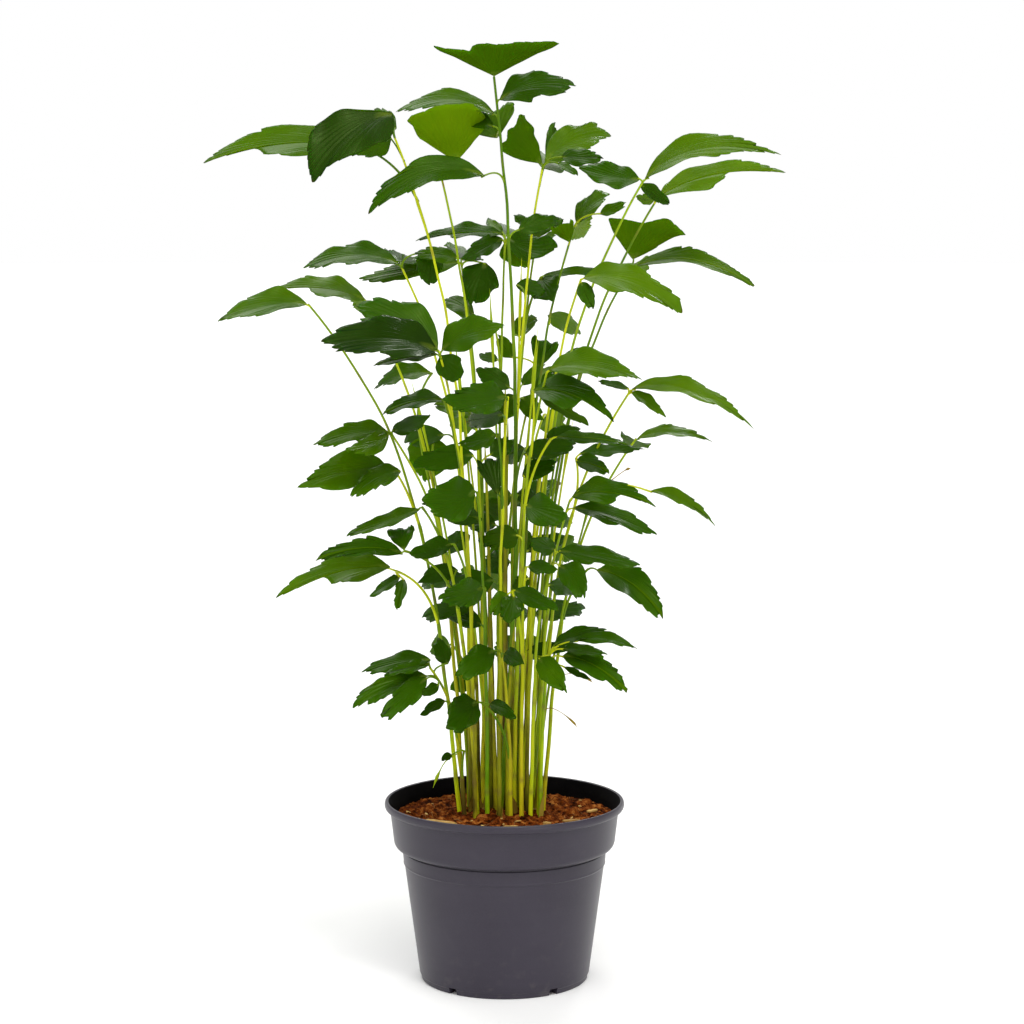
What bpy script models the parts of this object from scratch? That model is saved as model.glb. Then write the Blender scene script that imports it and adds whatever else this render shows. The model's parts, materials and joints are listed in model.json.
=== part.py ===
"""Potted fishtail palm: a clump of leafy stems in a nursery pot.

The origin is the centre of the pot's flat base, +Z is up and the best side faces -Y.
Every size in the tables is in millimetres. MM turns them into Blender's metres.
"""
import math
import random

import bpy
from mathutils import Vector
from mathutils.bvhtree import BVHTree

MM = 0.001
SEED = 7
GAP = 0.3

# Pot, in millimetres
POT_HEIGHT = 181.0
BASE_RADIUS = 82.5
RIM_RADIUS = 120.3
POT_SEGMENTS = 40
FLOOR_TOP = 5.0
SLOT_COUNT = 5
SLOT_FIRST_ANGLE = math.radians(-55.0)
SLOT_WIDTH = 9.0
SLOT_HEIGHT = 6.5
SLOT_FROM = 75.5
SLOT_TO = 90.0
POT_SHARP_ANGLE = math.radians(35)

# Outside of the pot from the middle of its base up to the top of the lip: radius, height
POT_OUTSIDE = (
    (0, 0), (30, 0), (33, 3), (70, 3), (73, 0), (BASE_RADIUS, 0), (83.2, 5), (84.0, 5.8),
    (97.6, 116.5), (98.9, 117.6), (98.7, 119.6), (100.2, 130.4), (106.8, 131.4), (109.7, 134.6),
    (113.7, 171.5), (118.6, 172.6), (RIM_RADIUS, 176.4), (119.2, 180.2), (117.4, POT_HEIGHT),
)
# Inside of the pot from the lip down to the middle of its floor
POT_INSIDE = (
    (115.0, 180), (111.8, 170), (107.8, 136.6), (98.4, 132.2), (95.8, 116), (82.0, 7.4),
    (79.6, FLOOR_TOP), (0, FLOOR_TOP),
)

# Growing medium, in millimetres
SOIL_LEVEL = 167.0
SOIL_SEGMENTS = 24
SOIL_RINGS = (0, 26, 52, 78, 98)
SOIL_EDGE_DROP = 4.0
SOIL_BODY_LEVEL = SOIL_LEVEL - 3.0
SOIL_MOUND = 3.0
SOIL_MOUND_SPREAD = 3200.0
HOLE_DEPTH = 50.0
HOLE_SIDES = 6
HOLE_RISE = 10.0
STEM_FOOT = SOIL_LEVEL - HOLE_DEPTH + GAP

# Place from which the plant's front is laid out, in millimetres, and how far its view dips
SIGHT = (7.6, -2500.0, 745.0)
SIGHT_DIP = math.radians(6.27)
SIGHT_REACH = 2540.0
SIGHT_MIDDLE = (8.0, 463.0)

# The depths in the table of stems are stretched by this, which leaves their front view as it is
DEPTH_STRETCH = 1.18

# Leaves and stems, in millimetres
STEM_SIDES = 4
STEM_STEPS = 8
STEM_STEP_EASE = 0.9
STEM_START = SOIL_LEVEL + 4.0
STEM_CURL = 4
STEM_TIP_RADIUS = 1.2
STALK_RADIUS = 1.0
LEAF_STALK_RADIUS = 0.85
LEAF_ROOT = 0.5
LONGEST_BARE_JOINT = 11.0
LEAF_HALF_THICKNESS = 0.7
LEAF_FOLD = 0.16
LEAF_RISE = 0.03
LEAF_EDGE_SHARE = 0.75
LEAF_UNEVENNESS = 0.10
NARROWEST_ROW = 0.4
RAGGED_BELOW_SHARE = 0.7
JOINT_SPACING = 1.0
JOINT_INSET = 1.5
JOINT_DROP = 3.0
STALK_STEPS = 3
LEAF_STALK_LONG = 16.0
BEND_HOLD = 0.45
BEND_PULL = 0.12

# What is tried in turn to bend a piece clear of the others, in millimetres and in degrees
CLEARANCE = 0.8
SWINGS = (0, 6, -6, 12, -12, 18, -18, 24, -24, 32, -32, 40, -40)
SHIFTS = (0, 10, -10, 20, -20, 32, -32, 45, -45, 60, -60, 80, -80)
STALK_SHIFTS = SHIFTS[:9]
HOLDS = (0.45, 0.25, 0.65)
TWISTS = (0, 12, -12, 24, -24)
TWIST_COST = 0.8
FAR_ROWS = 4

# Outline of a leaflet from its stalk to its tip: place, smooth half, ragged half
LONG_OUTLINE = (
    (0.0, 0.0, 0.0), (0.11, 0.50, 0.44), (0.31, 0.95, 0.90), (0.53, 1.0, 1.06), (0.66, 0.84, 0.74),
    (0.80, 0.60, 0.68), (1.0, 0.0, 0.0),
)
SHORT_OUTLINE = (
    (0.0, 0.0, 0.0), (0.22, 0.76, 0.72), (0.48, 1.0, 1.05), (0.68, 0.80, 0.70), (0.82, 0.50, 0.62),
    (1.0, 0.0, 0.0),
)
WEDGE_OUTLINE = ((0.0, 0.0, 0.0), (0.30, 0.36, 0.36), (0.66, 0.74, 0.74), (1.0, 1.0, 1.0))
WEDGE_TEETH = (1.0, 0.90, 1.0, 0.88, 1.02)
SHORT_LEAF = 88.0


def stretched(place):
    """A place (across, up, depth) with its depth stretched."""
    return place[0], place[1], place[2] * DEPTH_STRETCH


def blade(base, tip, depth, upper, lower, turn=50, form="blade"):
    """A leaflet. base and tip are (across, up) as seen from the front, depth is the tip's, away from the
    viewer. upper and lower say how far its edges stand off the line from base to tip, as seen, and turn
    is how many degrees its upper edge leans away from the viewer."""
    return {"base": base, "tip": tip, "depth": depth * DEPTH_STRETCH, "upper": upper, "lower": lower,
            "turn": turn, "form": form}


def fork(place, start, *blades):
    """A side frond. place is (across, up, depth) of its fork, and start is the height at which its leaf
    stalk leaves the stem."""
    return {"place": stretched(place), "start": start, "blades": blades}


def stem(name, root, place, lean, blades, forks=(), bow=0.0, radius=2.3):
    """A leafy stem. root is where it stands (x, y), place is (across, up, depth) of its top fork, lean is
    how much of its spread is a straight slant, and bow is how far it bends sideways on the way."""
    return {"name": name, "root": root, "place": stretched(place), "lean": lean, "blades": blades,
            "forks": forks,
            "bow": bow, "radius": radius}


STEMS = (
    stem("stem_centre", (-4, -3), (-10, 898, 0), 0.1, (
        blade((-10, 899), (-8, 932), -14, 61, 61, 0, "wedge"),
        blade((-4, 875), (72, 889), -30, 22, 5, 50),
        blade((-9, 860), (-110, 865), 30, 23, -6, 60),
        blade((-7, 837), (-17, 865), 50, 28, 36, 0, "wedge"),
        blade((-19, 799), (-136, 764), -50, 34, -6, 42),
    ), bow=16.0, radius=2.9),
    stem("stem_top_left", (-34, -3), (-110, 839, -10), 0.05, (
        blade((-112, 862), (-192, 795), -60, 34, 12, 35),
        blade((-108, 846), (-132, 866), 40, 9, 8, 30),
    ), (
        fork((-146, 828, 20), 775, blade((-150, 828), (-303, 816), 45, 25, 6, 52)),
    )),
    stem("stem_top_left_back", (-21, -2), (-63, 799, 40), 0.05, (
        blade((-48, 813), (-61, 867), 0, 28, 40, 0, "wedge"),
        blade((-64, 800), (-56, 816), 135, 20, 20, 0),
    )),
    stem("stem_top_right_back", (7, 6), (39, 810, 45), 0.1, (
        blade((38, 811), (4, 843), 15, 19, 12, 20, "wedge"),
        blade((41, 812), (108, 841), 90, 26, 6, 40),
        blade((57, 818), (99, 819), 20, 8, 10, 45),
        blade((54, 812), (74, 800), 10, 5, 4, 45),
        blade((39, 807), (46, 820), 150, 20, 20, 0),
    ), (
        fork((22, 527, 50), 480,
             blade((24, 527), (53, 511), 78, 13, 11, 30),
             blade((20, 527), (-8, 514), 84, 13, 11, 30)),
    )),
    stem("stem_top_right", (19, -2), (140, 795, -20), 0.25, (
        blade((141, 796), (277, 822), -60, 32, -9, 55),
        blade((136, 796), (72, 811), 10, 8, 16, 45),
    )),
    stem("stem_far_right", (29, 8), (154, 777, 25), 0.25, (
        blade((155, 778), (283, 805), 50, 22, -1, 55),
        blade((155, 779), (194, 809), 90, 5, 5, 50),
        blade((151, 776), (132, 779), 0, 4, 8, 40),
    )),
    stem("stem_right_back", (25, 19), (129, 711, 65), 0.25, (
        blade((129, 716), (137, 757), 30, 32, 42, 0, "wedge"),
        blade((131, 708), (251, 691), 40, 24, -9, 62),
        blade((130, 711), (136, 700), 150, 18, 18, 0),
    ), (
        fork((52, 430, 55), 370, blade((54, 430), (72, 420), 125, 16, 16, 0)),
    )),
    stem("stem_right_front", (22, -13), (77, 696, -45), 0.2, (
        blade((79, 697), (178, 668), -100, 24, 3, 50),
        blade((77, 693), (90, 667), -70, 7, 9, 20),
    )),
    stem("stem_back_right", (15, 12), (71, 750, 105), 0.15, (
        blade((72, 752), (106, 782), 130, 14, 5, 40),
        blade((96, 761), (123, 772), 80, 6, 6, 40),
        blade((66, 733), (57, 753), 80, 12, 13, 0, "wedge"),
        blade((72, 750), (80, 740), 195, 18, 18, 0),
    ), (
        fork((40, 560, 70), 500, blade((42, 560), (60, 548), 150, 18, 16, 0)),
    )),
    stem("stem_back", (-6, 13), (1, 737, 110), 0.1, (
        blade((-1, 741), (-90, 735), 120, 12, 3, 62),
        blade((-1, 742), (-18, 756), 140, 5, 4, 40),
        blade((-1, 736), (-43, 717), 75, 10, 9, 40),
        blade((4, 738), (53, 729), 70, 6, 22, 35),
        blade((2, 739), (6, 752), 215, 24, 22, 0),
    ), (
        fork((-10, 650, 85), 590, blade((-12, 650), (-40, 640), 160, 12, 12, 20)),
    )),
    stem("stem_back_tall", (6, 20), (32, 735, 125), 0.1, (
        blade((33, 737), (34, 761), 150, 26, 28, 0, "wedge"),
        blade((33, 735), (40, 722), 215, 20, 20, 0),
    ), (
        fork((37, 698, 95), 645,
             blade((38, 699), (116, 706), 110, 5, 3, 68),
             blade((37, 697), (48, 675), 60, 16, 18, 25)),
        fork((16, 330, 50), 280,
             blade((14, 330), (-8, 320), 110, 14, 14, 0),
             blade((18, 330), (40, 322), 115, 14, 14, 0)),
    )),
    stem("stem_back_low", (-5, 26), (34, 606, 120), 0.15, (
        blade((34, 607), (41, 637), 140, 14, 16, 0, "wedge"),
        blade((8, 617), (-7, 642), 90, 8, 9, 20),
        blade((34, 604), (38, 592), 215, 22, 22, 0),
    ), (
        fork((6, 440, 60), 395,
             blade((4, 440), (-14, 417), 90, 13, 13, 20),
             blade((8, 441), (32, 424), 95, 13, 13, 20)),
        fork((10, 480, 75), 420,
             blade((8, 480), (-30, 470), 140, 12, 12, 20),
             blade((12, 480), (50, 472), 150, 12, 12, 20)),
    )),
    stem("stem_left_far_back", (-18, 16), (-43, 713, 95), 0.1, (
        blade((-44, 713), (-146, 698), 110, 9, 10, 55),
        blade((-18, 712), (-31, 669), 60, 20, 18, 25),
        blade((-42, 715), (-38, 728), 190, 22, 22, 0),
    ), (
        fork((-30, 560, 70), 500, blade((-32, 560), (-50, 548), 160, 18, 16, 0)),
        fork((-22, 470, 62), 420,
             blade((-24, 470), (-47, 453), 100, 13, 13, 20),
             blade((-20, 471), (0, 456), 110, 13, 13, 20)),
        fork((-24, 400, 55), 340,
             blade((-26, 400), (-48, 390), 130, 15, 15, 0),
             blade((-22, 400), (0, 392), 140, 15, 15, 0)),
    )),
    stem("stem_left_back", (-30, 10), (-103, 709, 70), 0.1, (
        blade((-105, 711), (-202, 707), 95, 21, -1, 62),
        blade((-72, 724), (-76, 690), 50, 14, 14, 25),
        blade((-103, 712), (-100, 722), 165, 20, 20, 0),
    ), (
        fork((-52, 330, 45), 280, blade((-54, 330), (-74, 322), 100, 15, 15, 0)),
    )),
    stem("stem_left", (-41, 5), (-139, 675, 35), 0.3, (
        blade((-139, 675), (-232, 688), 60, 17, 4, 60),
        blade((-138, 674), (-140, 664), 130, 16, 16, 0),
    ), (
        fork((-72, 602, 40), 550, blade((-73, 602), (-133, 587), 75, 14, 2, 62)),
        fork((-70, 537, 45), 480,
             blade((-72, 538), (-78, 492), 70, 24, 21, 15)),
    )),
    stem("stem_big_leaf", (-29, -26), (-65, 624, -85), 0.2, (
        blade((-67, 624), (-184, 630), -140, 29, 8, 50),
        blade((-66, 626), (-150, 667), -70, 28, 12, 45),
        blade((-66, 621), (-131, 612), -110, 5, 4, 68),
        blade((-62, 625), (2, 650), -110, 20, 8, 45),
    ), (
        fork((-60, 575, -60), 510, blade((-61, 575), (-122, 561), -85, 12, 2, 60)),
        fork((-50, 431, -50), 385, blade((-52, 431), (-95, 419), -75, 8, 9, 45)),
    )),
    stem("stem_far_left", (-45, -6), (-196, 671, -25), 0.35, (
        blade((-197, 671), (-288, 653), -50, 18, 4, 58),
    ), (
        fork((-110, 505, -45), 458,
             blade((-116, 507), (-207, 488), -80, 21, 10, 45),
             blade((-103, 504), (-153, 477), -95, 16, 5, 40)),
        fork((-108, 404, -40), 360,
             blade((-114, 408), (-229, 377), -60, 23, 4, 50),
             blade((-104, 398), (-134, 381), -90, 4, 5, 60),
             blade((-100, 396), (-108, 366), -85, 6, 6, 30)),
    )),
    stem("stem_left_front", (-27, -15), (-114, 543, -60), 0.3, (
        blade((-116, 543), (-191, 528), -95, 13, 3, 60),
        blade((-115, 541), (-158, 526), -115, 4, 14, 45),
        blade((-112, 544), (-74, 561), -95, 5, 10, 50),
    ), (
        fork((-82, 468, -45), 430, blade((-84, 466), (-159, 439), -70, 5, 6, 60)),
        fork((-99, 424, -60), 375,
             blade((-101, 421), (-188, 418), -95, 16, 0, 62),
             blade((-100, 425), (-104, 449), -40, 14, 14, 0, "wedge")),
    )),
    stem("stem_front_right_high", (10, -14), (43, 603, -80), 0.2, (
        blade((45, 605), (138, 597), -120, 20, 1, 58),
    ), (
        fork((29, 584, -70), 530,
             blade((29, 584), (110, 554), -120, 25, 4, 48),
             blade((35, 580), (86, 549), -70, 4, 6, 50)),
        fork((47, 536, -55), 480, blade((51, 538), (125, 533), -60, 5, 3, 66)),
    )),
    stem("stem_right", (32, -2), (127, 585, -35), 0.3, (
        blade((128, 586), (251, 550), -70, 25, -9, 58),
        blade((127, 583), (162, 557), -60, 8, 3, 45),
        blade((125, 586), (93, 594), 0, 4, 3, 50),
    ), (
        fork((72, 517, -25), 470,
             blade((75, 521), (142, 526), -30, 6, 4, 64),
             blade((72, 514), (106, 503), -60, 10, 6, 45)),
    )),
    stem("stem_front", (-5, -27), (4, 578, -95), 0.2, (
        blade((2, 578), (-60, 573), -150, 14, 15, 35),
    ), (
        fork((-6, 541, -75), 480, blade((-8, 541), (-45, 530), -110, 6, 10, 45)),
    )),
    stem("stem_front_left", (-17, -25), (-27, 483, -85), 0.2, (
        blade((-29, 484), (-80, 473), -130, 14, 25, 30),
    ), (
        fork((-19, 387, -55), 335, blade((-21, 387), (-64, 374), -110, 12, 13, 35)),
    )),
    stem("stem_front_right", (17, -27), (21, 470, -85), 0.2, (
        blade((22, 470), (62, 456), -130, 13, 14, 35),
    ), (
        fork((8, 384, -65), 330,
             blade((10, 385), (54, 365), -100, 8, 8, 40),
             blade((10, 379), (5, 352), -105, 11, 11, 20),
             blade((4, 381), (-14, 362), -90, 9, 9, 30)),
        fork((22, 408, -60), 355, blade((24, 408), (53, 405), -90, 7, 5, 45)),
    )),
    stem("stem_right_low", (34, -12), (66, 475, -55), 0.25, (
        blade((68, 478), (151, 470), -100, 20, 2, 52),
        blade((146, 484), (212, 449), -30, 13, -3, 60),
        blade((69, 467), (154, 440), -60, 12, 3, 60),
    )),
    stem("stem_right_slim", (39, 5), (132, 536, 40), 0.3, (
        blade((133, 536), (209, 534), 60, 15, -4, 62),
        blade((131, 535), (128, 528), 130, 16, 16, 0),
    ), (
        fork((84, 406, 15), 360, blade((93, 405), (160, 359), -30, 23, 5, 45)),
    )),
    stem("stem_front_right_low", (26, -24), (52, 423, -65), 0.2, (
        blade((54, 424), (137, 411), -90, 8, 6, 62),
        blade((55, 409), (79, 375), -110, 18, 6, 30),
        blade((51, 425), (25, 434), -95, 8, 8, 40),
    )),
    stem("stem_low_left", (-40, -17), (-74, 307, -55), 0.3, (
        blade((-73, 315), (-143, 302), -60, 11, 3, 58),
        blade((-74, 311), (-120, 301), -85, 5, 4, 62),
        blade((-77, 299), (-152, 266), -85, 16, 4, 50),
        blade((-77, 297), (-123, 257), -105, 10, 10, 35),
        blade((-65, 290), (-82, 279), -80, 5, 5, 40),
        blade((-56, 311), (-68, 337), -25, 8, 9, 10),
    ), (
        fork((-56, 273, -35), 235, blade((-59, 274), (-84, 261), -60, 5, 4, 50)),
        fork((-40, 224, -30), 195, blade((-52, 220), (-63, 215), -45, 4, 3, 40)),
    )),
    stem("stem_low_front", (6, -27), (-4, 325, -55), 0.2, (
        blade((-10, 325), (-47, 297), -90, 13, 12, 35),
        blade((0, 321), (20, 311), -90, 9, 7, 30),
    ), (
        fork((-22, 272, -50), 225,
             blade((-27, 273), (-58, 247), -90, 16, 15, 25),
             blade((-15, 271), (12, 256), -85, 8, 4, 45)),
    )),
    stem("stem_low_right", (36, -22), (47, 324, -50), 0.2, (
        blade((34, 317), (63, 282), -95, 12, 10, 25),
        blade((49, 329), (104, 345), -45, 9, 2, 60),
        blade((72, 334), (135, 327), -60, 11, -2, 60),
        blade((58, 326), (104, 320), -85, 6, 3, 60),
        blade((58, 319), (123, 285), -95, 18, 3, 48),
        blade((60, 308), (89, 294), -75, 3, 3, 40),
    )),
)

# Slivers of bark on the medium: x, y, angle in degrees, length, width
CHIPS = (
    (-92, -34, 20, 17, 8), (-62, -52, -28, 34, 7), (6, -70, 8, 15, 6),
    (42, -58, -12, 8, 6), (66, -44, 14, 17, 7), (88, 4, 40, 13, 6),
)
CHIP_THICKNESS = 3.0
CHIP_SINK = 1.6
CHIP_TAPER = 0.9

# Outline of a chip: place along it and how much of its width it has there
CHIP_OUTLINE = ((-0.5, 0.55), (-0.1, 1.0), (0.5, 0.7))


def clear_scene():
    for old in list(bpy.data.objects):
        bpy.data.objects.remove(old, do_unlink=True)


def material(name, colour, roughness):
    made = bpy.data.materials.new(name)
    made.use_nodes = True
    shader = made.node_tree.nodes["Principled BSDF"]
    shader.inputs["Base Color"].default_value = (*colour, 1.0)
    shader.inputs["Roughness"].default_value = roughness
    shader.inputs["Metallic"].default_value = 0.0
    return made


def mesh_object(name, points, faces, look=None):
    """An object from points in millimetres."""
    mesh = bpy.data.meshes.new(name)
    mesh.from_pydata([[value * MM for value in point] for point in points], [], faces)
    mesh.update()
    made = bpy.data.objects.new(name, mesh)
    bpy.context.scene.collection.objects.link(made)
    if look:
        mesh.materials.append(look)
    return made


def combine(target, others, operation):
    """Joins or cuts target with all the other objects in one Boolean, and removes them."""
    group = bpy.data.collections.new(target.name + "_tools")
    bpy.context.scene.collection.children.link(group)
    for other in others:
        bpy.context.scene.collection.objects.unlink(other)
        group.objects.link(other)
    step = target.modifiers.new("combine", "BOOLEAN")
    step.operation = operation
    step.operand_type = "COLLECTION"
    step.collection = group
    step.solver = "EXACT"
    bpy.context.view_layer.update()
    ready = target.evaluated_get(bpy.context.evaluated_depsgraph_get())
    mesh = bpy.data.meshes.new_from_object(ready)
    target.modifiers.remove(step)
    target.data = mesh
    for other in others:
        bpy.data.objects.remove(other, do_unlink=True)
    bpy.data.collections.remove(group)


def seen_from_front(across, up, depth):
    """The point at this depth that stands at (across, up) in the front view."""
    dip = (math.sin(SIGHT_DIP), math.cos(SIGHT_DIP))
    rise = up - SIGHT_MIDDLE[1]
    forward = SIGHT_REACH * dip[1] + rise * dip[0]
    ray = Vector((across - SIGHT_MIDDLE[0], forward, rise * dip[1] - SIGHT_REACH * dip[0]))
    return Vector(SIGHT) + ray * ((depth - SIGHT[1]) / ray.y)


def stem_point(one, share, swing=0.0):
    """A point on a stem, from 0 where it leaves the medium to 1 at its top fork."""
    root = Vector((*one["root"], STEM_START))
    top = seen_from_front(*one["place"])
    spread = one["lean"] * share + (1.0 - one["lean"]) * share ** STEM_CURL
    sideways = 4.0 * share * (1.0 - share)
    x = root.x + (top.x - root.x) * spread + one["bow"] * sideways
    y = root.y + (top.y - root.y) * spread + swing * sideways
    return Vector((x, y, root.z + (top.z - root.z) * share))


def stem_path(one, swing):
    """Points and radii of a stem from its foot in the medium to its top fork."""
    points = [Vector((*one["root"], STEM_FOOT))]
    shares = [step / STEM_STEPS for step in range(STEM_STEPS + 1)]
    points += [stem_point(one, share ** STEM_STEP_EASE, swing) for share in shares]
    radii = [one["radius"]]
    radii += [one["radius"] + (STEM_TIP_RADIUS - one["radius"]) * share for share in shares]
    return points, radii


def point_at(points, height):
    """The point on a stem's path at a height, and the path's direction there."""
    for low, high in zip(points[1:], points[2:]):
        if height <= high.z:
            break
    along = high - low
    return low + along * ((height - low.z) / along.z), along.normalized()


def bend(start, leaving, end, steps, hold=BEND_HOLD):
    """A soft curve that leaves start in one direction and reaches end."""
    span = (end - start).length
    middle = start + leaving.normalized() * span * hold + (end - start) * BEND_PULL
    points = []
    for step in range(steps + 1):
        t = step / steps
        points.append(start * (1 - t) ** 2 + middle * 2 * t * (1 - t) + end * t ** 2)
    return points


def tube(points, radii, sides=STEM_SIDES, swell=0.0):
    """Points and faces of a closed tube along a path."""
    rings = []
    across = Vector((1.0, 0.0, 0.0))
    for index, point in enumerate(points):
        before = points[max(index - 1, 0)]
        after = points[min(index + 1, len(points) - 1)]
        along = (after - before).normalized()
        across = (across - along * across.dot(along)).normalized()
        beside = along.cross(across)
        radius = radii[index] + swell
        rings.append([
            point + (across * math.cos(turn) + beside * math.sin(turn)) * radius
            for turn in (math.tau * side / sides for side in range(sides))
        ])
    vertices = [place for ring in rings for place in ring]
    faces = []
    for row in range(len(rings) - 1):
        for side in range(sides):
            a = row * sides + side
            b = row * sides + (side + 1) % sides
            faces.append((a, b, b + sides, a + sides))
    faces.append(tuple(reversed(range(sides))))
    faces.append(tuple(range(len(vertices) - sides, len(vertices))))
    return vertices, faces


def leaf_frame(leaf, fork_depth, shift=0.0, twist=0.0):
    """Base, tip, side and face directions of a leaflet. shift moves its tip along the line of sight."""
    seen_base = Vector(leaf["base"])
    seen_tip = Vector(leaf["tip"])
    along_seen = (seen_tip - seen_base).normalized()
    edge = Vector((-along_seen.y, along_seen.x))
    if edge.y < 0 or (edge.y == 0 and edge.x > 0):
        edge = -edge
    far = leaf["depth"] + shift
    base_depth = fork_depth + (far - fork_depth) * leaf["reach"]
    base = seen_from_front(*leaf["base"], base_depth)
    tip = seen_from_front(*leaf["tip"], far)
    side = Vector((edge.x, math.tan(math.radians(leaf["turn"] + twist)), edge.y))
    face = (tip - base).cross(side).normalized()
    if face.z < 0:
        face = -face
    half = (leaf["upper"] + leaf["lower"]) / 2.0
    arch = (leaf["upper"] - leaf["lower"]) / 2.0
    if leaf["form"] == "wedge":
        half = max(leaf["upper"], leaf["lower"])
        arch = 0.0
    return {
        "base": base, "tip": tip, "side": side * half, "face": face,
        "arch": Vector((edge.x, 0.0, edge.y)) * arch, "length": (tip - base).length,
    }


def leaf_rows(leaf, frame, start):
    """Rows of points across a leaflet from inside its carrier to its tip, with their face direction."""
    draw = random.Random(leaf["seed"])
    wedge = leaf["form"] == "wedge"
    lanes = (-1.0, -0.5, 0.0, 0.5, 1.0) if wedge else (-1.0, 0.0, 1.0)
    if wedge:
        outline = WEDGE_OUTLINE
        widest = max(leaf["upper"], leaf["lower"])
        sides = (leaf["lower"] / widest, leaf["upper"] / widest)
    else:
        outline = LONG_OUTLINE if frame["length"] > SHORT_LEAF else SHORT_OUTLINE
        sides = (1.0, 1.0)
    span = frame["tip"] - frame["base"]
    across = frame["side"].normalized()
    rows = [([start + across * lane * LEAF_ROOT for lane in lanes], frame["face"], LEAF_ROOT)]
    half_width = frame["side"].length
    for place, smooth, ragged in outline[1:]:
        jitter = 1.0 + LEAF_UNEVENNESS * (draw.random() - 0.5)
        rise = 4.0 * place * (1.0 - place)
        middle = frame["base"] + span * place + frame["arch"] * rise
        middle += frame["face"] * LEAF_RISE * frame["length"] * rise
        line = []
        for number, lane in enumerate(lanes):
            share = ragged if (lane > 0) == leaf["ragged_up"] else smooth
            width = max(share * jitter * sides[lane > 0], NARROWEST_ROW / half_width)
            teeth = WEDGE_TEETH[number] if wedge and place == 1.0 else 1.0
            lift = frame["face"] * LEAF_FOLD * abs(lane) * width * half_width
            spot = middle + frame["side"] * lane * width + lift
            line.append(frame["base"] + (spot - frame["base"]) * teeth)
        rows.append((line, frame["face"], LEAF_HALF_THICKNESS))
    return rows


def leaf_solid(rows, swell=0.0):
    """Points and faces of a thin closed leaflet, with both of its faces cut into like triangles."""
    lanes = len(rows[0][0])
    vertices = []
    above = []
    below = []
    for row, (line, face, thickness) in enumerate(rows):
        above.append([])
        below.append([])
        for lane, point in enumerate(line):
            inner = 0 < lane < lanes - 1 and row < len(rows) - 1
            depth = thickness * (1.0 if lane == lanes // 2 else LEAF_EDGE_SHARE) + swell
            if not inner:
                outward = (point - line[lanes // 2])
                place = point + outward.normalized() * swell if outward.length > 0 else point
                above[-1].append(len(vertices))
                below[-1].append(len(vertices))
                vertices.append(place)
            else:
                above[-1].append(len(vertices))
                vertices.append(point + face * depth)
                below[-1].append(len(vertices))
                vertices.append(point - face * depth)
    faces = []
    for row in range(len(rows) - 1):
        for lane in range(lanes - 1):
            a, b = above[row][lane], above[row][lane + 1]
            c, d = above[row + 1][lane + 1], above[row + 1][lane]
            faces += [(b, c, d), (b, d, a)] if lane < lanes // 2 else [(a, b, c), (a, c, d)]
            a, b = below[row][lane], below[row][lane + 1]
            c, d = below[row + 1][lane + 1], below[row + 1][lane]
            faces += [(b, d, c), (b, a, d)] if lane < lanes // 2 else [(a, c, b), (a, d, c)]
    for lane in range(lanes - 1):
        ring = [above[0][lane], below[0][lane], below[0][lane + 1], above[0][lane + 1]]
        corner = [spot for index, spot in enumerate(ring) if spot not in ring[:index]]
        faces += [(corner[0], corner[k], corner[k + 1]) for k in range(1, len(corner) - 1)]
    return vertices, faces


def leaf_solids(result, swell=0.0):
    """The blade of a leaflet, and its stalk where it has one."""
    solids = [leaf_solid(result["rows"], swell)]
    if result["stalk"]:
        radii = [LEAF_STALK_RADIUS] * len(result["stalk"])
        solids.append(tube(result["stalk"], radii, STEM_SIDES, swell))
    return solids


class Room:
    """What is already placed, so that the next piece can be bent clear of it."""

    def __init__(self):
        self.taken = []

    def hits(self, owner, whole, far):
        count = 0
        for other, other_whole, other_far in self.taken:
            mine = far if other == owner else whole
            theirs = other_far if other == owner else other_whole
            if mine is None or theirs is None or not boxes_meet(mine[1], theirs[1]):
                continue
            count += len(mine[0].overlap(theirs[0]))
        return count

    def place(self, owner, whole, far):
        self.taken.append((owner, whole, far))


def hull(*shapes):
    """A search tree and a box for the points and faces of some solids."""
    points = []
    faces = []
    for shape_points, shape_faces in shapes:
        faces += [tuple(index + len(points) for index in face) for face in shape_faces]
        points += shape_points
    low = [min(point[axis] for point in points) for axis in range(3)]
    high = [max(point[axis] for point in points) for axis in range(3)]
    return BVHTree.FromPolygons(points, faces), (low, high)


def boxes_meet(one, two):
    return all(one[0][axis] <= two[1][axis] and two[0][axis] <= one[1][axis] for axis in range(3))


def first_clear(room, owner, options, build):
    """The first option whose solid meets nothing, or else the one that meets least."""
    best = None
    for option in options:
        result, whole, far = build(option)
        count = room.hits(owner, whole, far)
        if best is None or count < best[0]:
            best = (count, result, whole, far)
        if count == 0:
            break
    if best[0]:
        print(owner, "still meets its neighbours in", best[0], "places")
    room.place(owner, best[2], best[3])
    return best[1]


def settle_stem(room, one):
    """Bends a stem clear of the others by its depth on the way up."""
    def build(swing):
        points, radii = stem_path(one, swing)
        return swing, hull(tube(points, radii, swell=CLEARANCE)), None
    return first_clear(room, one["name"], SWINGS, build)


def settle_stalk(room, one, branch, swing):
    """Bends the stalk of a side frond clear of the other stems."""
    low, leaving = point_at(stem_path(one, swing)[0], branch["start"])

    def build(option):
        hold, shift = option
        across, up, depth = branch["place"]
        path = bend(low, leaving, seen_from_front(across, up, depth + shift), STALK_STEPS, hold)
        radii = [STALK_RADIUS] * len(path)
        return (path, depth + shift), hull(tube(path, radii, swell=CLEARANCE)), None
    options = [(hold, shift) for shift in STALK_SHIFTS for hold in HOLDS]
    return first_clear(room, one["name"], options, build)


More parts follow.
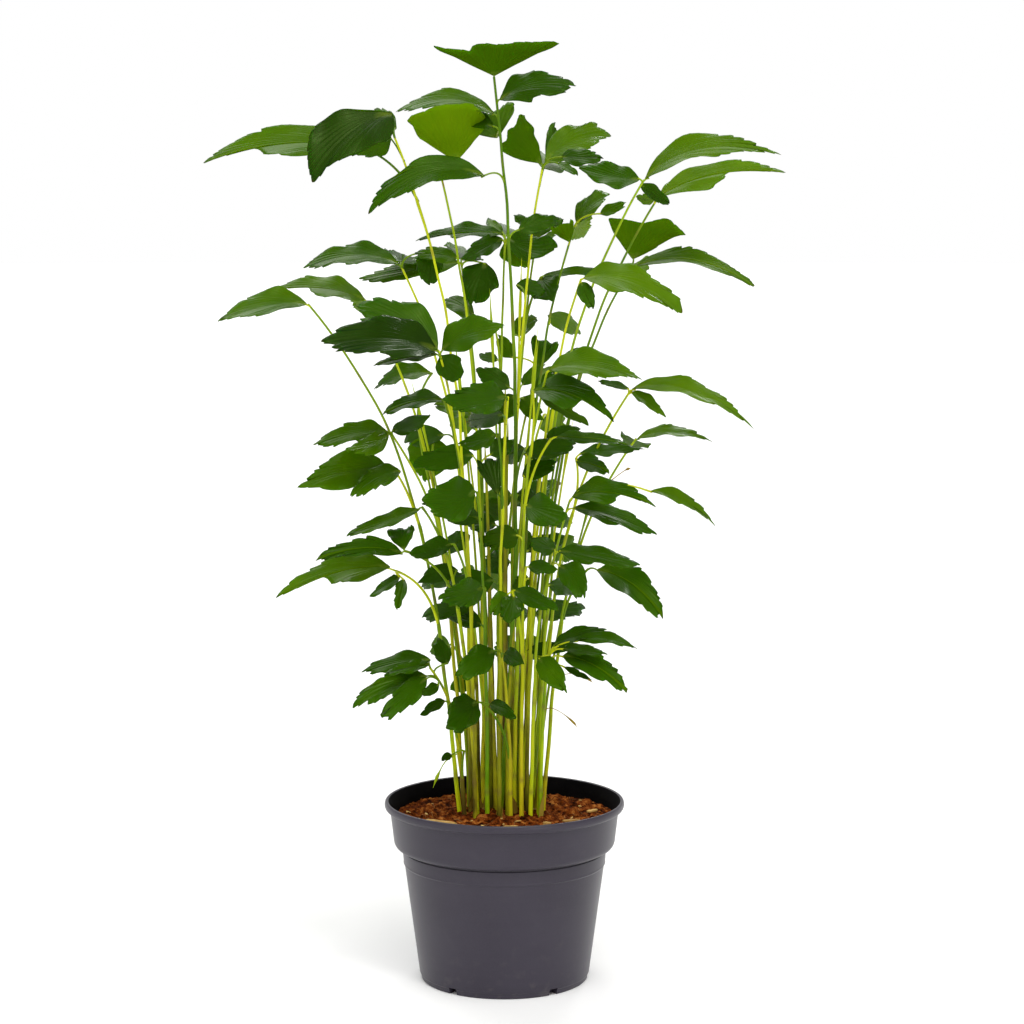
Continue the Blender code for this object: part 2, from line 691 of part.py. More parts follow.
def settle_leaf(room, one, leaf, number, joint, leaving, fork_depth, fork_seen):
    """Turns a leaflet clear of what is placed already, and returns its rows of points."""
    seen_gap = (Vector(leaf["base"]) - fork_seen).length
    leaf["reach"] = seen_gap / (seen_gap + (Vector(leaf["tip"]) - Vector(leaf["base"])).length)
    leaf["seed"] = SEED * 1000 + number
    leaf["ragged_up"] = random.Random(leaf["seed"]).random() > RAGGED_BELOW_SHARE

    def build(option):
        shift, twist = option
        frame = leaf_frame(leaf, fork_depth, shift, twist)
        base = frame["base"]
        stalk = None
        if (base - joint).length > LONGEST_BARE_JOINT:
            steps = STALK_STEPS if (base - joint).length > LEAF_STALK_LONG else STALK_STEPS - 1
            stalk = bend(joint, leaving, base, steps)
            stalk.append(base + (base - stalk[-2]).normalized())
        rows = leaf_rows(leaf, frame, base if stalk else joint)
        result = {"rows": rows, "stalk": stalk}
        far = hull(leaf_solid(rows[-FAR_ROWS:], swell=CLEARANCE))
        return result, hull(*leaf_solids(result, CLEARANCE)), far
    options = [(shift, twist) for shift in SHIFTS for twist in TWISTS]
    options.sort(key=lambda option: abs(option[0]) + TWIST_COST * abs(option[1]))
    return first_clear(room, one["name"], options, build)


def lay_out():
    """Bends every stem, stalk and leaflet clear of the others. Returns the solids of each stem."""
    room = Room()
    plan = {}
    for one in STEMS:
        plan[one["name"]] = {"swing": settle_stem(room, one), "forks": []}
    for one in STEMS:
        swing = plan[one["name"]]["swing"]
        for branch in one["forks"]:
            plan[one["name"]]["forks"].append(settle_stalk(room, one, branch, swing))
    number = 0
    for one in STEMS:
        swing = plan[one["name"]]["swing"]
        solids = [tube(*stem_path(one, swing))]
        groups = [(one["blades"], None, one["place"][2], one["place"])]
        for branch, (path, depth) in zip(one["forks"], plan[one["name"]]["forks"]):
            groups.append((branch["blades"], path, depth, branch["place"]))
            solids.append(tube(path, [STALK_RADIUS] * len(path)))
        for blades, path, depth, place in groups:
            for rank, leaf in enumerate(blades):
                number += 1
                joint, leaving = leaf_joint(one, swing, path, leaf, rank)
                result = settle_leaf(room, one, leaf, number, joint, leaving, depth, Vector(place[:2]))
                solids += leaf_solids(result)
        plan[one["name"]]["solids"] = solids
    return plan


def leaf_joint(one, swing, path, leaf, rank):
    """Where a leaflet's stalk starts inside its stem or leaf stalk, and the direction there."""
    if path is None:
        top = seen_from_front(*one["place"]).z
        base = seen_from_front(*leaf["base"], one["place"][2]).z
        height = min(top - JOINT_INSET, base - JOINT_DROP) - JOINT_SPACING * rank
        return point_at(stem_path(one, swing)[0], height)
    last = path[-1]
    back = (path[-2] - last).normalized()
    return last + back * (JOINT_INSET + JOINT_SPACING * rank), -back


def soil_height(x, y):
    """The uneven top of the medium."""
    lump = 1.3 * math.sin(x * 0.11 + 0.7) * math.cos(y * 0.13 - 0.4) + 0.9 * math.sin(x * 0.23 - y * 0.19)
    return SOIL_BODY_LEVEL + lump + SOIL_MOUND * math.exp(-(x * x + y * y) / SOIL_MOUND_SPREAD)


def make_pot():
    profile = POT_OUTSIDE + POT_INSIDE
    points = []
    faces = []
    rings = []
    for radius, height in profile:
        if radius == 0:
            rings.append([len(points)])
            points.append((0.0, 0.0, height))
            continue
        rings.append(list(range(len(points), len(points) + POT_SEGMENTS)))
        for step in range(POT_SEGMENTS):
            angle = math.tau * step / POT_SEGMENTS
            points.append((radius * math.cos(angle), radius * math.sin(angle), height))
    for below, above in zip(rings, rings[1:]):
        for step in range(POT_SEGMENTS):
            after = (step + 1) % POT_SEGMENTS
            if len(below) == 1:
                faces.append((below[0], above[after], above[step]))
            elif len(above) == 1:
                faces.append((below[step], below[after], above[0]))
            else:
                faces.append((below[step], below[after], above[after], above[step]))
    pot = mesh_object("pot", points, faces, material("pot_plastic", (0.075, 0.07, 0.08), 0.45))
    cutters = []
    for number in range(SLOT_COUNT):
        angle = SLOT_FIRST_ANGLE + math.tau * number / SLOT_COUNT
        out = Vector((math.cos(angle), math.sin(angle), 0.0))
        beside = Vector((-out.y, out.x, 0.0)) * (SLOT_WIDTH / 2)
        corners = [out * radius + beside * side + Vector((0, 0, height))
                   for height in (-1.0, SLOT_HEIGHT)
                   for radius, side in ((SLOT_FROM, -1), (SLOT_TO, -1), (SLOT_TO, 1), (SLOT_FROM, 1))]
        cutters.append(mesh_object("slot", corners, [
            (3, 2, 1, 0), (4, 5, 6, 7), (0, 1, 5, 4), (1, 2, 6, 5), (2, 3, 7, 6), (3, 0, 4, 7)]))
    combine(pot, cutters, "DIFFERENCE")
    pot.data.shade_smooth()
    pot.data.set_sharp_from_angle(angle=POT_SHARP_ANGLE)


def inner_radius(height):
    """Radius of the pot's inner wall at a height."""
    wall = POT_INSIDE[1:-1]
    for (upper_radius, upper), (lower_radius, lower) in zip(wall, wall[1:]):
        if lower <= height <= upper:
            return lower_radius + (upper_radius - lower_radius) * (height - lower) / (upper - lower)
    return wall[-1][0]


def make_soil(chips):
    """One body of growing medium with a plain hole for each stem and a pocket for each chip."""
    rings = [[(radius * math.cos(angle), radius * math.sin(angle))
              for angle in (math.tau * step / SOIL_SEGMENTS for step in range(SOIL_SEGMENTS))]
             for radius in SOIL_RINGS[1:]]
    points = [(0.0, 0.0, soil_height(0, 0))]
    for ring in rings:
        points += [(x, y, soil_height(x, y)) for x, y in ring]
    wall_heights = [SOIL_LEVEL - SOIL_EDGE_DROP] + [height for radius, height in POT_INSIDE[2:7]]
    for height in wall_heights:
        radius = inner_radius(height) - 2 * GAP
        for step in range(SOIL_SEGMENTS):
            angle = math.tau * step / SOIL_SEGMENTS
            points.append((radius * math.cos(angle), radius * math.sin(angle), height + GAP))
    points.append((0.0, 0.0, FLOOR_TOP + GAP))
    faces = []
    count = SOIL_SEGMENTS
    total = len(rings) + len(wall_heights)
    for step in range(count):
        after = (step + 1) % count
        faces.append((0, 1 + step, 1 + after))
        for ring in range(total - 1):
            a, b = 1 + ring * count + step, 1 + ring * count + after
            faces.append((a, a + count, b + count, b))
        a, b = 1 + (total - 1) * count + step, 1 + (total - 1) * count + after
        faces.append((a, len(points) - 1, b))
    soil = mesh_object("soil", points, faces, material("soil_coir", (0.10, 0.035, 0.015), 0.95))
    cutters = []
    for one in STEMS:
        x, y = one["root"]
        radius = (one["radius"] + GAP) / math.cos(math.pi / HOLE_SIDES)
        ends = [Vector((x, y, STEM_FOOT - GAP)), Vector((x, y, SOIL_LEVEL + HOLE_RISE))]
        cutters.append(mesh_object("hole", *tube(ends, [radius, radius], HOLE_SIDES)))
    for chip in chips:
        cutters.append(chip_object("pocket", chip, GAP))
    combine(soil, cutters, "DIFFERENCE")


def chip_object(name, chip, swell=0.0, look=None):
    """A flat sliver of bark with tapered ends, sunk a little in the medium."""
    x, y, angle, length, width = chip
    along = Vector((math.cos(math.radians(angle)), math.sin(math.radians(angle)), 0.0))
    beside = Vector((-along.y, along.x, 0.0))
    low = soil_height(x, y) - CHIP_SINK
    corners = []
    for height, scale in ((low - swell, CHIP_TAPER), (low + CHIP_THICKNESS + swell, 1.0)):
        for where, breadth in CHIP_OUTLINE:
            for side in (-1, 1):
                reach = along * (where * length * scale + math.copysign(swell, where))
                half = beside * side * (breadth * width * 0.5 * scale + swell)
                corners.append(Vector((x, y, height)) + reach + half)
    faces = [(0, 1, 3, 2), (2, 3, 5, 4), (6, 8, 9, 7), (8, 10, 11, 9), (0, 6, 7, 1), (4, 5, 11, 10),
             (0, 2, 8, 6), (2, 4, 10, 8), (1, 7, 9, 3), (3, 9, 11, 5)]
    return mesh_object(name, corners, faces, look)


def make_chips():
    look = material("bark", (0.45, 0.28, 0.10), 0.8)
    for number, chip in enumerate(CHIPS):
        chip_object("chip_%d" % (number + 1), chip, look=look)


def make_stems():
    green = material("leaf_green", (0.05, 0.17, 0.015), 0.35)
    plan = lay_out()
    for one in STEMS:
        solids = plan[one["name"]]["solids"]
        body = mesh_object(one["name"], *solids[0], look=green)
        leaves = [mesh_object("leaf", *solid) for solid in solids[1:]]
        combine(body, leaves, "UNION")


def main():
    clear_scene()
    make_pot()
    make_soil(CHIPS)
    make_chips()
    make_stems()


main()
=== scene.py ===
"""The looks of the potted fishtail palm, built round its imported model.

The tables say in millimetres what part.py says of each stem and leaflet, so that every fine piece
stands where its solid does. A place that is "seen" is (across, up) in the view from the front.
"""
import json
import math
import random
from types import SimpleNamespace as Record

import bmesh
import bpy
import numpy as np
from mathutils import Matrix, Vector, noise

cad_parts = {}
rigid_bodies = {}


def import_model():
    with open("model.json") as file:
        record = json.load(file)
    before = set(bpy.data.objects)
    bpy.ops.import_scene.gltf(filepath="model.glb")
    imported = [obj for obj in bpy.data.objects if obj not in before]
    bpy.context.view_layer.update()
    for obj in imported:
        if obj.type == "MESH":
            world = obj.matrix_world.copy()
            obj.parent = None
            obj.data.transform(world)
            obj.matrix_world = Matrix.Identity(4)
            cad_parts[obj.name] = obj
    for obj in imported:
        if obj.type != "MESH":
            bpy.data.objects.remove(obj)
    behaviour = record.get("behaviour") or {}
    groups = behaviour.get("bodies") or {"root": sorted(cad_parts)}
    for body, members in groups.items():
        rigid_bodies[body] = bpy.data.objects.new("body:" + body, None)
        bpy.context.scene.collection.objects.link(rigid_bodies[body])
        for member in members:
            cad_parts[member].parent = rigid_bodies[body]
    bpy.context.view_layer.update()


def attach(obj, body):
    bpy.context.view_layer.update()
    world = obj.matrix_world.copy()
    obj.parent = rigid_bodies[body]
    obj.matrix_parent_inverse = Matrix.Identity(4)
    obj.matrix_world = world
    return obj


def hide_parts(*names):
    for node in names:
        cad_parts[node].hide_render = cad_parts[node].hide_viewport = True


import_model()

MM = 0.001
SEED = 7
GAP = 0.3

# Pot, in millimetres
POT_HEIGHT = 181.0
BASE_RADIUS = 82.5
RIM_RADIUS = 120.3
FLOOR_TOP = 5.0
SLOT_COUNT = 5
SLOT_FIRST_ANGLE = math.radians(-55.0)
SLOT_WIDTH = 9.0
SLOT_HEIGHT = 6.5
SLOT_FROM = 75.5
SLOT_TO = 90.0
POT_SEGMENTS = 240
CORNER_STEPS = 5
POT_SHARP_EDGE = math.radians(40)

# Section of the pot from the middle of its base over its lip to the middle of its floor: radius,
# height and how far the corner is rounded
POT_SECTION = (
    (0.0, 0.0, 0), (30, 0, 1), (33, 3, 1.5), (70, 3, 1.5), (73, 0, 1), (BASE_RADIUS + 1, 0, 0.8),
    (84.4, 5, 0.5), (85.3, 5.8, 0.8), (100.2, 116.5, 0.8), (101.4, 117.6, 0.6), (101.2, 119.6, 0.8),
    (102.2, 131.0, 0.3), (101.4, 131.6, 0.2), (101.4, 133.2, 0.3), (107.4, 134.2, 2.6),
    (110.5, 137.8, 3.0), (114.6, 171.8, 1.2), (118.8, 172.8, 2.0), (RIM_RADIUS, 176.4, 2.4),
    (119.4, 180.2, 1.6), (117.8, POT_HEIGHT, 1.6), (115.6, 180, 1.5), (112.4, 170, 1.5),
    (108.6, 139.6, 2.0), (100.6, 135.4, 2.0), (98.0, 116, 1.0), (83.0, 7.4, 1.0),
    (80.6, FLOOR_TOP, 1.0), (0, FLOOR_TOP, 0),
)
# The groove under the collar lies between these heights and radii, and is painted darker as shade
GROOVE_HEIGHTS = (130.9, 133.7)
GROOVE_RADII = (100.0, 102.0)
GROOVE_PAINTED_SHADE = 0.45
INSIDE_ROWS_AFTER_LIP = 4

# Growing medium, in millimetres
SOIL_LEVEL = 167.0
SOIL_EDGE_DROP = 4.0
SOIL_BODY_LEVEL = SOIL_LEVEL - 3.0
SOIL_MOUND = 3.0
SOIL_MOUND_SPREAD = 3200.0
STEM_FOOT = SOIL_LEVEL - 50.0 + 2 * GAP
CULM_FOOT = SOIL_LEVEL - 12.0
SOIL_AROUND = 300
SOIL_TOP_RINGS = 130
SOIL_RIM = 110.3
CRUMBS = 800
FIBRES = 220
SPLINTERS = 34
CLUMP_RISE = 3.5
# Its side, where it meets the pot's inner wall: radius of the wall, height
SOIL_SIDE = ((110.602395, 160.0), (107.8, 136.6), (98.4, 132.2), (95.8, 116.0), (82.0, 7.4), (79.6, 5.0))

# Camera, in millimetres: its place, how far its view dips, its distance in pixels, the pixel that
# it looks at, and the studio
SIGHT = (7.6, -2500.0, 745.0)
SIGHT_DIP = math.radians(6.27)
SIGHT_REACH = 2540.0
SIGHT_MIDDLE = (8.0, 463.0)
SENSOR = 36.0
PHOTO_SIZE = 1024
FLOOR_RADIUS = 60.0
FLOOR_TONE = 0.93
# The sky turns from its light at the horizon to its light above between these heights
SKY_HEIGHTS = (0.10, 0.42)
SKY_LIGHTS = (1.0, 0.42)
# Lights: heading from the front, height, strength, spread, colour
LIGHTS = (
    ("key_light", 22, 60, 1.50, 50, (1.0, 0.985, 0.95)),
    ("fill_light", -34, 40, 0.60, 60, (0.97, 0.99, 1.0)),
    ("back_light", -155, 50, 0.95, 40, (1.0, 1.0, 0.96)),
    ("low_light", 32, 8, 0.30, 16, (0.96, 0.98, 1.0)),
    ("front_glint", 20, 60, 0.45, 10, (1.0, 1.0, 1.0)),
    ("back_glint", 160, 42, 0.40, 10, (1.0, 1.0, 1.0)),
)

# Numbers that a piece's points carry for its look, and the looks of a leafy stem
POINT_VALUES = ("rib", "rim", "tone", "tip")
TOP_LOOK, UNDER_LOOK, STEM_LOOK, DRY_LOOK = range(4)

# Stems and stalks, in millimetres
DEPTH_STRETCH = 1.18
STEM_STEPS = 8
STEM_STEP_EASE = 0.9
STEM_START = SOIL_LEVEL + 4.0
STEM_CURL = 4
STEM_TIP_RADIUS = 1.2
FINE_STEM_STEPS = 72
STEM_SLIMMING = 0.12
STEM_DRIFT = 1.6
STALK_RADIUS = 1.0
JOINT_SPACING = 1.0
JOINT_INSET = 1.5
JOINT_DROP = 3.0
STALK_STEPS = 3
BEND_HOLD = 0.45
BEND_PULL = 0.12
SCALE_SHARE = 0.3
SPRIG_SPREAD = 5.0

# Leaflets, in millimetres
SHORT_LEAF = 88.0
LONG_LEAF_ROWS = 13
SHORT_LEAF_ROWS = 9
RAGGED_BELOW_SHARE = 0.7
LEAF_FOLD = 0.16
MARGIN_EASE = 0.9
SMOOTH_SPACING = 3.0
SMOOTH_LEAF = 72.0
# Teeth: how long and how deep they are at the end and on the sides
END_TOOTH, SIDE_TOOTH = (5.0, 12.0), (7.0, 17.0)
END_CUT, SIDE_CUT = (1.2, 4.6), (0.4, 1.8)
# how much deeper they are on a long leaflet's end and sides, and on a short leaflet
LONG_END_CUT, LONG_SIDE_CUT, SHORT_CUT = 1.3, 1.9, 0.75
# how much longer and deeper they are on a torn end, and on a wedge
SPIKY_TOOTH, SPIKY_CUT, WEDGE_TOOTH, WEDGE_CUT, OUTLINED_CUT = 1.3, 2.2, 1.1, 0.7, 0.4
# where along the ragged and the smooth side the teeth and the end begin, and how often a tooth is left out
TEETH_FROM = {True: 0.42, False: 0.66}
END_FROM = {True: 0.80, False: 0.90}
TOOTH_MISSING = {True: 0.25, False: 0.55}
# and at which shares of a tooth its cut is measured
TOOTH_SHARES = (0.03, 0.22, 0.46, 0.72, 0.97)
ARCH_SKEW = 0.88
ARCH_SHARE = 0.9
LEAF_RISE = 0.01
BLADE_THICKNESS = 0.5
RIB_HEIGHT = 0.22
RIDGE_SPACING = 8.0
WAVE_HEIGHT = 2.4
VEIN_SPACING = 2.3

# Half width of a blade along its sides
BLADE_SIDE = (
    (0.03, 0.20), (0.08, 0.46), (0.16, 0.75), (0.27, 0.95), (0.40, 1.0), (0.54, 0.93), (0.68, 0.79),
)
# The rest of its ragged and its smooth side, and its end, for the endings that are always the same
BLADE_ENDS = {
    "tail": (((0.80, 0.50), (0.89, 0.24), (0.96, 0.09)), ((0.80, 0.52), (0.89, 0.28), (0.96, 0.12)),
             ((1.0, 0.0),)),
    "blunt": (((0.80, 0.66), (0.90, 0.50), (0.98, 0.34)), ((0.80, 0.70), (0.90, 0.62), (0.965, 0.55)),
              ((1.0, 0.22), (0.985, -0.25))),
    "corner": (((0.80, 0.50), (0.91, 0.22)), ((0.78, 0.93), (0.88, 0.74), (0.94, 0.46)), ((1.0, 0.02),)),
}
# The corner of an end that steps in
STEP_CORNER = ((-0.02, 0.78), (0.015, 0.62), (0.03, 0.30), (0.05, 0.14))
# Edges of a wedge and its lobes
WEDGE_SIDE = ((0.10, 0.20), (0.30, 0.52), (0.52, 0.80), (0.72, 0.96))
WEDGE_LOBES = ((-0.80, 0.985), (-0.45, 0.90), (-0.12, 0.985), (0.10, 0.95), (0.42, 0.88), (0.80, 1.0))

# How some leaflets end, by the place of their tip
ENDINGS = {
    (-303, 816): "low step", (277, 822): "tail", (283, 805): "step", (-192, 795): "corner",
    (-136, 764): "corner", (251, 691): "blunt", (178, 668): "blunt", (251, 550): "tail",
    (-288, 653): "tail", (209, 534): "tail", (212, 449): "tail", (-184, 630): "cut",
}
# Leaflets whose end is deeply torn
SPIKY = {(-184, 630)}
# How light some leaflets are
LEAF_TONES = {
    (-192, 795): 0.12, (-184, 630): 0.08, (-61, 867): 0.95, (277, 822): 0.80, (283, 805): 0.85,
    (-303, 816): 0.75, (251, 691): 0.75, (137, 757): 0.62, (-136, 764): 0.55,
}
# Outlines of some leaflets with a form of their own, by the place of their tip: place and half width
OUTLINES = {
    (-192, 795): (
        (0.04, -0.5), (0.12, -0.95), (0.22, -1.2), (0.34, -1.1), (0.46, -0.92), (0.575, -0.74),
        (0.7, -0.48), (0.78, -0.3), (0.9, -0.2), (1.0, 0.0), (0.97, 0.35), (0.9, 0.75), (0.8, 1.06),
        (0.7, 1.2), (0.61, 1.22), (0.48, 1.1), (0.37, 0.9), (0.24, 0.51), (0.12, 0.24), (0.04, 0.08)),
    (-8, 932): (
        (0.18, -0.12), (0.36, -0.24), (0.7, -0.517), (0.88, -0.73), (1.03, -0.87), (1.05, -1.01),
        (1.12, -0.897), (1.09, -0.67), (1.06, -0.28), (1.01, -0.17), (0.99, 0.0), (0.97, 0.224),
        (0.85, 0.37), (0.68, 0.415), (0.69, 0.5), (0.66, 0.81), (0.67, 1.01), (0.53, 0.83), (0.47, 0.63),
        (0.49, 0.437), (0.36, 0.26), (0.18, 0.14)),
    (-61, 867): (
        (0.18, -0.1), (0.36, -0.345), (0.55, -0.72), (0.83, -0.83), (0.97, -0.92), (1.04, -0.8),
        (1.04, -0.5), (1.07, -0.24), (1.07, 0.04), (1.0, 0.5), (0.93, 0.93), (0.69, 1.3), (0.47, 1.34),
        (0.33, 1.05), (0.17, 0.56)),
    (137, 757): (
        (0.12, -0.2), (0.34, -0.49), (0.72, -0.755), (0.79, -0.91), (0.86, -1.12), (1.05, -0.786),
        (1.13, -0.657), (0.93, -0.04), (0.92, 0.3), (0.9, 0.597), (0.82, 0.98), (0.6, 0.86), (0.33, 0.54),
        (0.12, 0.22)),
    (4, 843): (
        (0.12, -0.3), (0.32, -0.8), (0.55, -1.25), (0.8, -1.45), (0.98, -1.2), (0.92, -0.6), (1.06, 0.0),
        (1.0, 0.5), (1.1, 1.05), (0.98, 1.25), (0.7, 1.15), (0.4, 0.8), (0.14, 0.32)),
}
# Leaflets inside the clump: base and tip as seen, how far the tip stands behind its stem, how far the
# edges stand off, and the upper edge's lean
SPRIGS = (
    (6, 587, -30, 604, 20, 12, 8, 35), (18, 590, 42, 612, 30, 7, 6, 30), (26, 583, 66, 603, 45, 10, 7, 35),
    (-64, 619, -44, 594, 10, 12, 12, 25), (-6, 615, -27, 620, 40, 6, 5, 30),
    (11, 580, -12, 552, 40, 11, 11, 25), (18, 578, 39, 554, 50, 10, 10, 25),
    (-6, 480, -16, 518, 30, 14, 13, 10, "wedge"), (18, 499, 54, 511, 50, 11, 8, 35),
    (13, 480, 36, 474, 30, 8, 7, 30), (-8, 450, -42, 453, 45, 12, 9, 35), (23, 424, 64, 437, 40, 10, 7, 40),
    (6, 414, -22, 408, 40, 12, 11, 30), (-46, 405, -87, 392, 20, 11, 7, 40),
    (-38, 397, -85, 389, 60, 10, 5, 45), (23, 324, 67, 327, 30, 8, 5, 40),
    (-33, 299, -53, 284, 20, 9, 9, 25), (25, 397, 9, 388, 40, 8, 7, 25), (-10, 848, -52, 866, 30, 8, 9, 40),
    (42, 813, 62, 846, 60, 16, 15, 10, "wedge"), (14, 745, 56, 757, 30, 9, 8, 40),
    (2, 735, 24, 706, 20, 14, 13, 25), (136, 791, 166, 769, 20, 7, 7, 35),
    (-113, 838, -148, 820, 30, 10, 13, 30), (-46, 717, -90, 722, 40, 9, 6, 45),
    (-30, 560, -70, 572, 60, 12, 8, 40), (40, 530, 78, 545, 60, 12, 7, 40),
    (-22, 350, -58, 362, 60, 10, 7, 40), (30, 460, 70, 450, 70, 9, 8, 35),
    (-40, 480, -78, 470, 60, 11, 8, 35), (8, 640, 34, 660, 70, 10, 8, 30),
    (-30, 660, -62, 676, 70, 12, 7, 40), (44, 660, 80, 640, 60, 11, 9, 35), (0, 350, 26, 362, 60, 8, 7, 30),
    (-14, 520, 12, 536, 80, 11, 9, 30), (60, 620, 100, 612, 60, 10, 8, 40),
    (-60, 540, -100, 532, 60, 11, 8, 40), (12, 690, 42, 684, 50, 9, 8, 35),
    (-34, 440, -60, 424, 30, 10, 9, 30), (44, 390, 78, 384, 60, 9, 7, 40),
    (-30, 520, -92, 508, 60, 14, 10, 40), (-22, 455, -84, 470, 70, 13, 10, 40),
    (10, 470, 60, 492, 80, 13, 9, 40), (20, 520, 74, 530, 80, 12, 9, 40),
    (-10, 395, -60, 384, 80, 12, 10, 40), (14, 440, -24, 432, 90, 13, 10, 30),
    (30, 360, 84, 366, 70, 12, 8, 40), (-28, 372, -84, 356, 50, 11, 8, 40),
    (0, 560, -40, 552, 80, 12, 9, 35), (36, 590, 88, 578, 70, 12, 9, 40),
)
# How far some tips are moved in depth and some leaflets are turned, to keep clear of the others
CLEARED = {
    (-61, 867): (-10, 0), (48, 675): (0, -24), (0, 456): (-10, 0), (-100, 722): (-60, 0),
    (-188, 418): (0, -12), (-12, 552): (-10, 12), (54, 511): (-32, 0), (-42, 453): (-10, 0),
    (-22, 408): (-10, 0), (-87, 392): (0, -12), (67, 327): (0, -24), (9, 388): (10, 0), (-52, 866): (10, 0),
    (78, 545): (-32, -12), (-58, 362): (-10, -12), (12, 536): (-45, 0), (100, 612): (10, -12),
    (-100, 532): (-10, 0), (-92, 508): (-60, -24), (-84, 470): (0, -24), (74, 530): (-45, 0),
    (-60, 384): (-32, 0), (-24, 432): (0, -12), (-84, 356): (0, -12),
}
# Threads: dry or green, radius, and places as seen, the first on a stem
WISPS = (
    (True, 0.55, ((34, 262), (46, 267), (58, 262), (70, 252), (73, 247))),
    (False, 0.8, ((-50, 222), (-58, 214), (-66, 200), (-71, 187))),
    (True, 0.6, ((112, 488), (120, 504), (127, 507))),
    (True, 0.5, ((62, 300), (74, 302), (84, 296), (89, 292))),
    (True, 0.5, ((-60, 795), (-63, 806), (-65, 812))),
)
# Bare old culms, dark brown as painted shade between the stems, and slim young ones: foot, how far the top
# leans, height of the top, radius
OLD_SHADE_CULMS = (
    ((-11, 20), (-6, 10), 470, 2.6), ((1, 30), (3, 12), 560, 2.4), ((12, 24), (8, 12), 500, 2.6),
    ((-26, 19), (-12, 8), 430, 2.3), ((21, 11), (14, 6), 520, 2.2), ((0, 5), (2, 4), 600, 2.5),
    ((-14, 6), (-5, 4), 540, 2.4), ((-36, 14), (-18, 6), 390, 2.2), ((3, -15), (6, -5), 360, 2.2),
    ((-9, -14), (-6, -8), 330, 2.1), ((32, 17), (18, 10), 400, 2.0), ((-3, 33), (0, 22), 420, 2.1),
)
YOUNG_CULMS = (
    ((-36, 7), (-52, 30), 560, 1.5), ((-19, 10), (-30, 34), 640, 1.5), ((0, 11), (-14, 40), 690, 1.5),
    ((9, 14), (24, 44), 650, 1.5), ((26, 14), (44, 26), 560, 1.4), ((14, 2), (40, 18), 600, 1.5),
    ((-27, 2), (-66, 12), 600, 1.4), ((3, -2), (30, 10), 640, 1.4), ((-16, -4), (-34, -10), 500, 1.4),
    ((33, 5), (60, 16), 500, 1.4), ((-8, 30), (-40, 36), 600, 1.4), ((18, 29), (50, 30), 620, 1.4),
    ((8, 33), (10, 50), 720, 1.4), ((26, -3), (34, -14), 430, 1.3),
)
# Slivers of bark on the medium: x, y, angle in degrees, length, width
CHIPS = (
    (-92, -34, 20, 17, 8), (-62, -52, -28, 34, 7), (6, -70, 8, 15, 6), (42, -58, -12, 8, 6),
    (66, -44, 14, 17, 7), (88, 4, 40, 13, 6),
)
CHIP_THICKNESS = 3.0
CHIP_SINK = 1.6


def seen_from_front(across, up, depth):
    """The point at this depth that stands at (across, up) in the front view."""
    dip = (math.sin(SIGHT_DIP), math.cos(SIGHT_DIP))
    rise = up - SIGHT_MIDDLE[1]
    forward = SIGHT_REACH * dip[1] + rise * dip[0]
    ray = Vector((across - SIGHT_MIDDLE[0], forward, rise * dip[1] - SIGHT_REACH * dip[0]))
    return Vector(SIGHT) + ray * ((depth - SIGHT[1]) / ray.y)


def as_seen(point):
    """Where a point appears from the front: (across, up)."""
    away = Vector(point) - Vector(SIGHT)
    rise = away.y * math.sin(SIGHT_DIP) + away.z * math.cos(SIGHT_DIP)
    forward = away.y * math.cos(SIGHT_DIP) - away.z * math.sin(SIGHT_DIP)
    return Vector((SIGHT_MIDDLE[0] + away.x * SIGHT_REACH / forward,
                   SIGHT_MIDDLE[1] + rise * SIGHT_REACH / forward))


def leaflet(across, up, tip_across, tip_up, depth, upper, lower, turn, form="blade"):
    return Record(base=(across, up), tip=(tip_across, tip_up), depth=depth, upper=upper, lower=lower,
                  turn=turn, wedge=form == "wedge")


def stretched_leaflets(rows):
    leaves = [leaflet(*row) for row in rows]
    for leaf in leaves:
        leaf.depth *= DEPTH_STRETCH
    return leaves


def stretched_place(across, up, depth):
    """Where a fork is: as seen with its depth, and in space."""
    place = (across, up, depth * DEPTH_STRETCH)
    return place, seen_from_front(*place)


def stem(name, root, place, lean, leaves, forks=(), bow=0.0, radius=2.3):
    """A leafy stem. root is where it stands (x, y), place is (across, up, depth) of its top fork, lean is
    how much of its spread is a straight slant, and bow is how far it bends sideways on the way. A fork has
    its place, the height at which its stalk leaves the stem, and its leaflets."""
    branches = []
    for fork_place, start, rows in forks:
        seen, point = stretched_place(*fork_place)
        branches.append(Record(place=seen, point=point, start=start, leaves=stretched_leaflets(rows)))
    seen, top = stretched_place(*place)
    return Record(name="stem_" + name, root=root, place=seen, top=top, lean=lean, bow=bow, radius=radius,
                  leaves=stretched_leaflets(leaves), forks=branches, hung=[], sprigs=0)


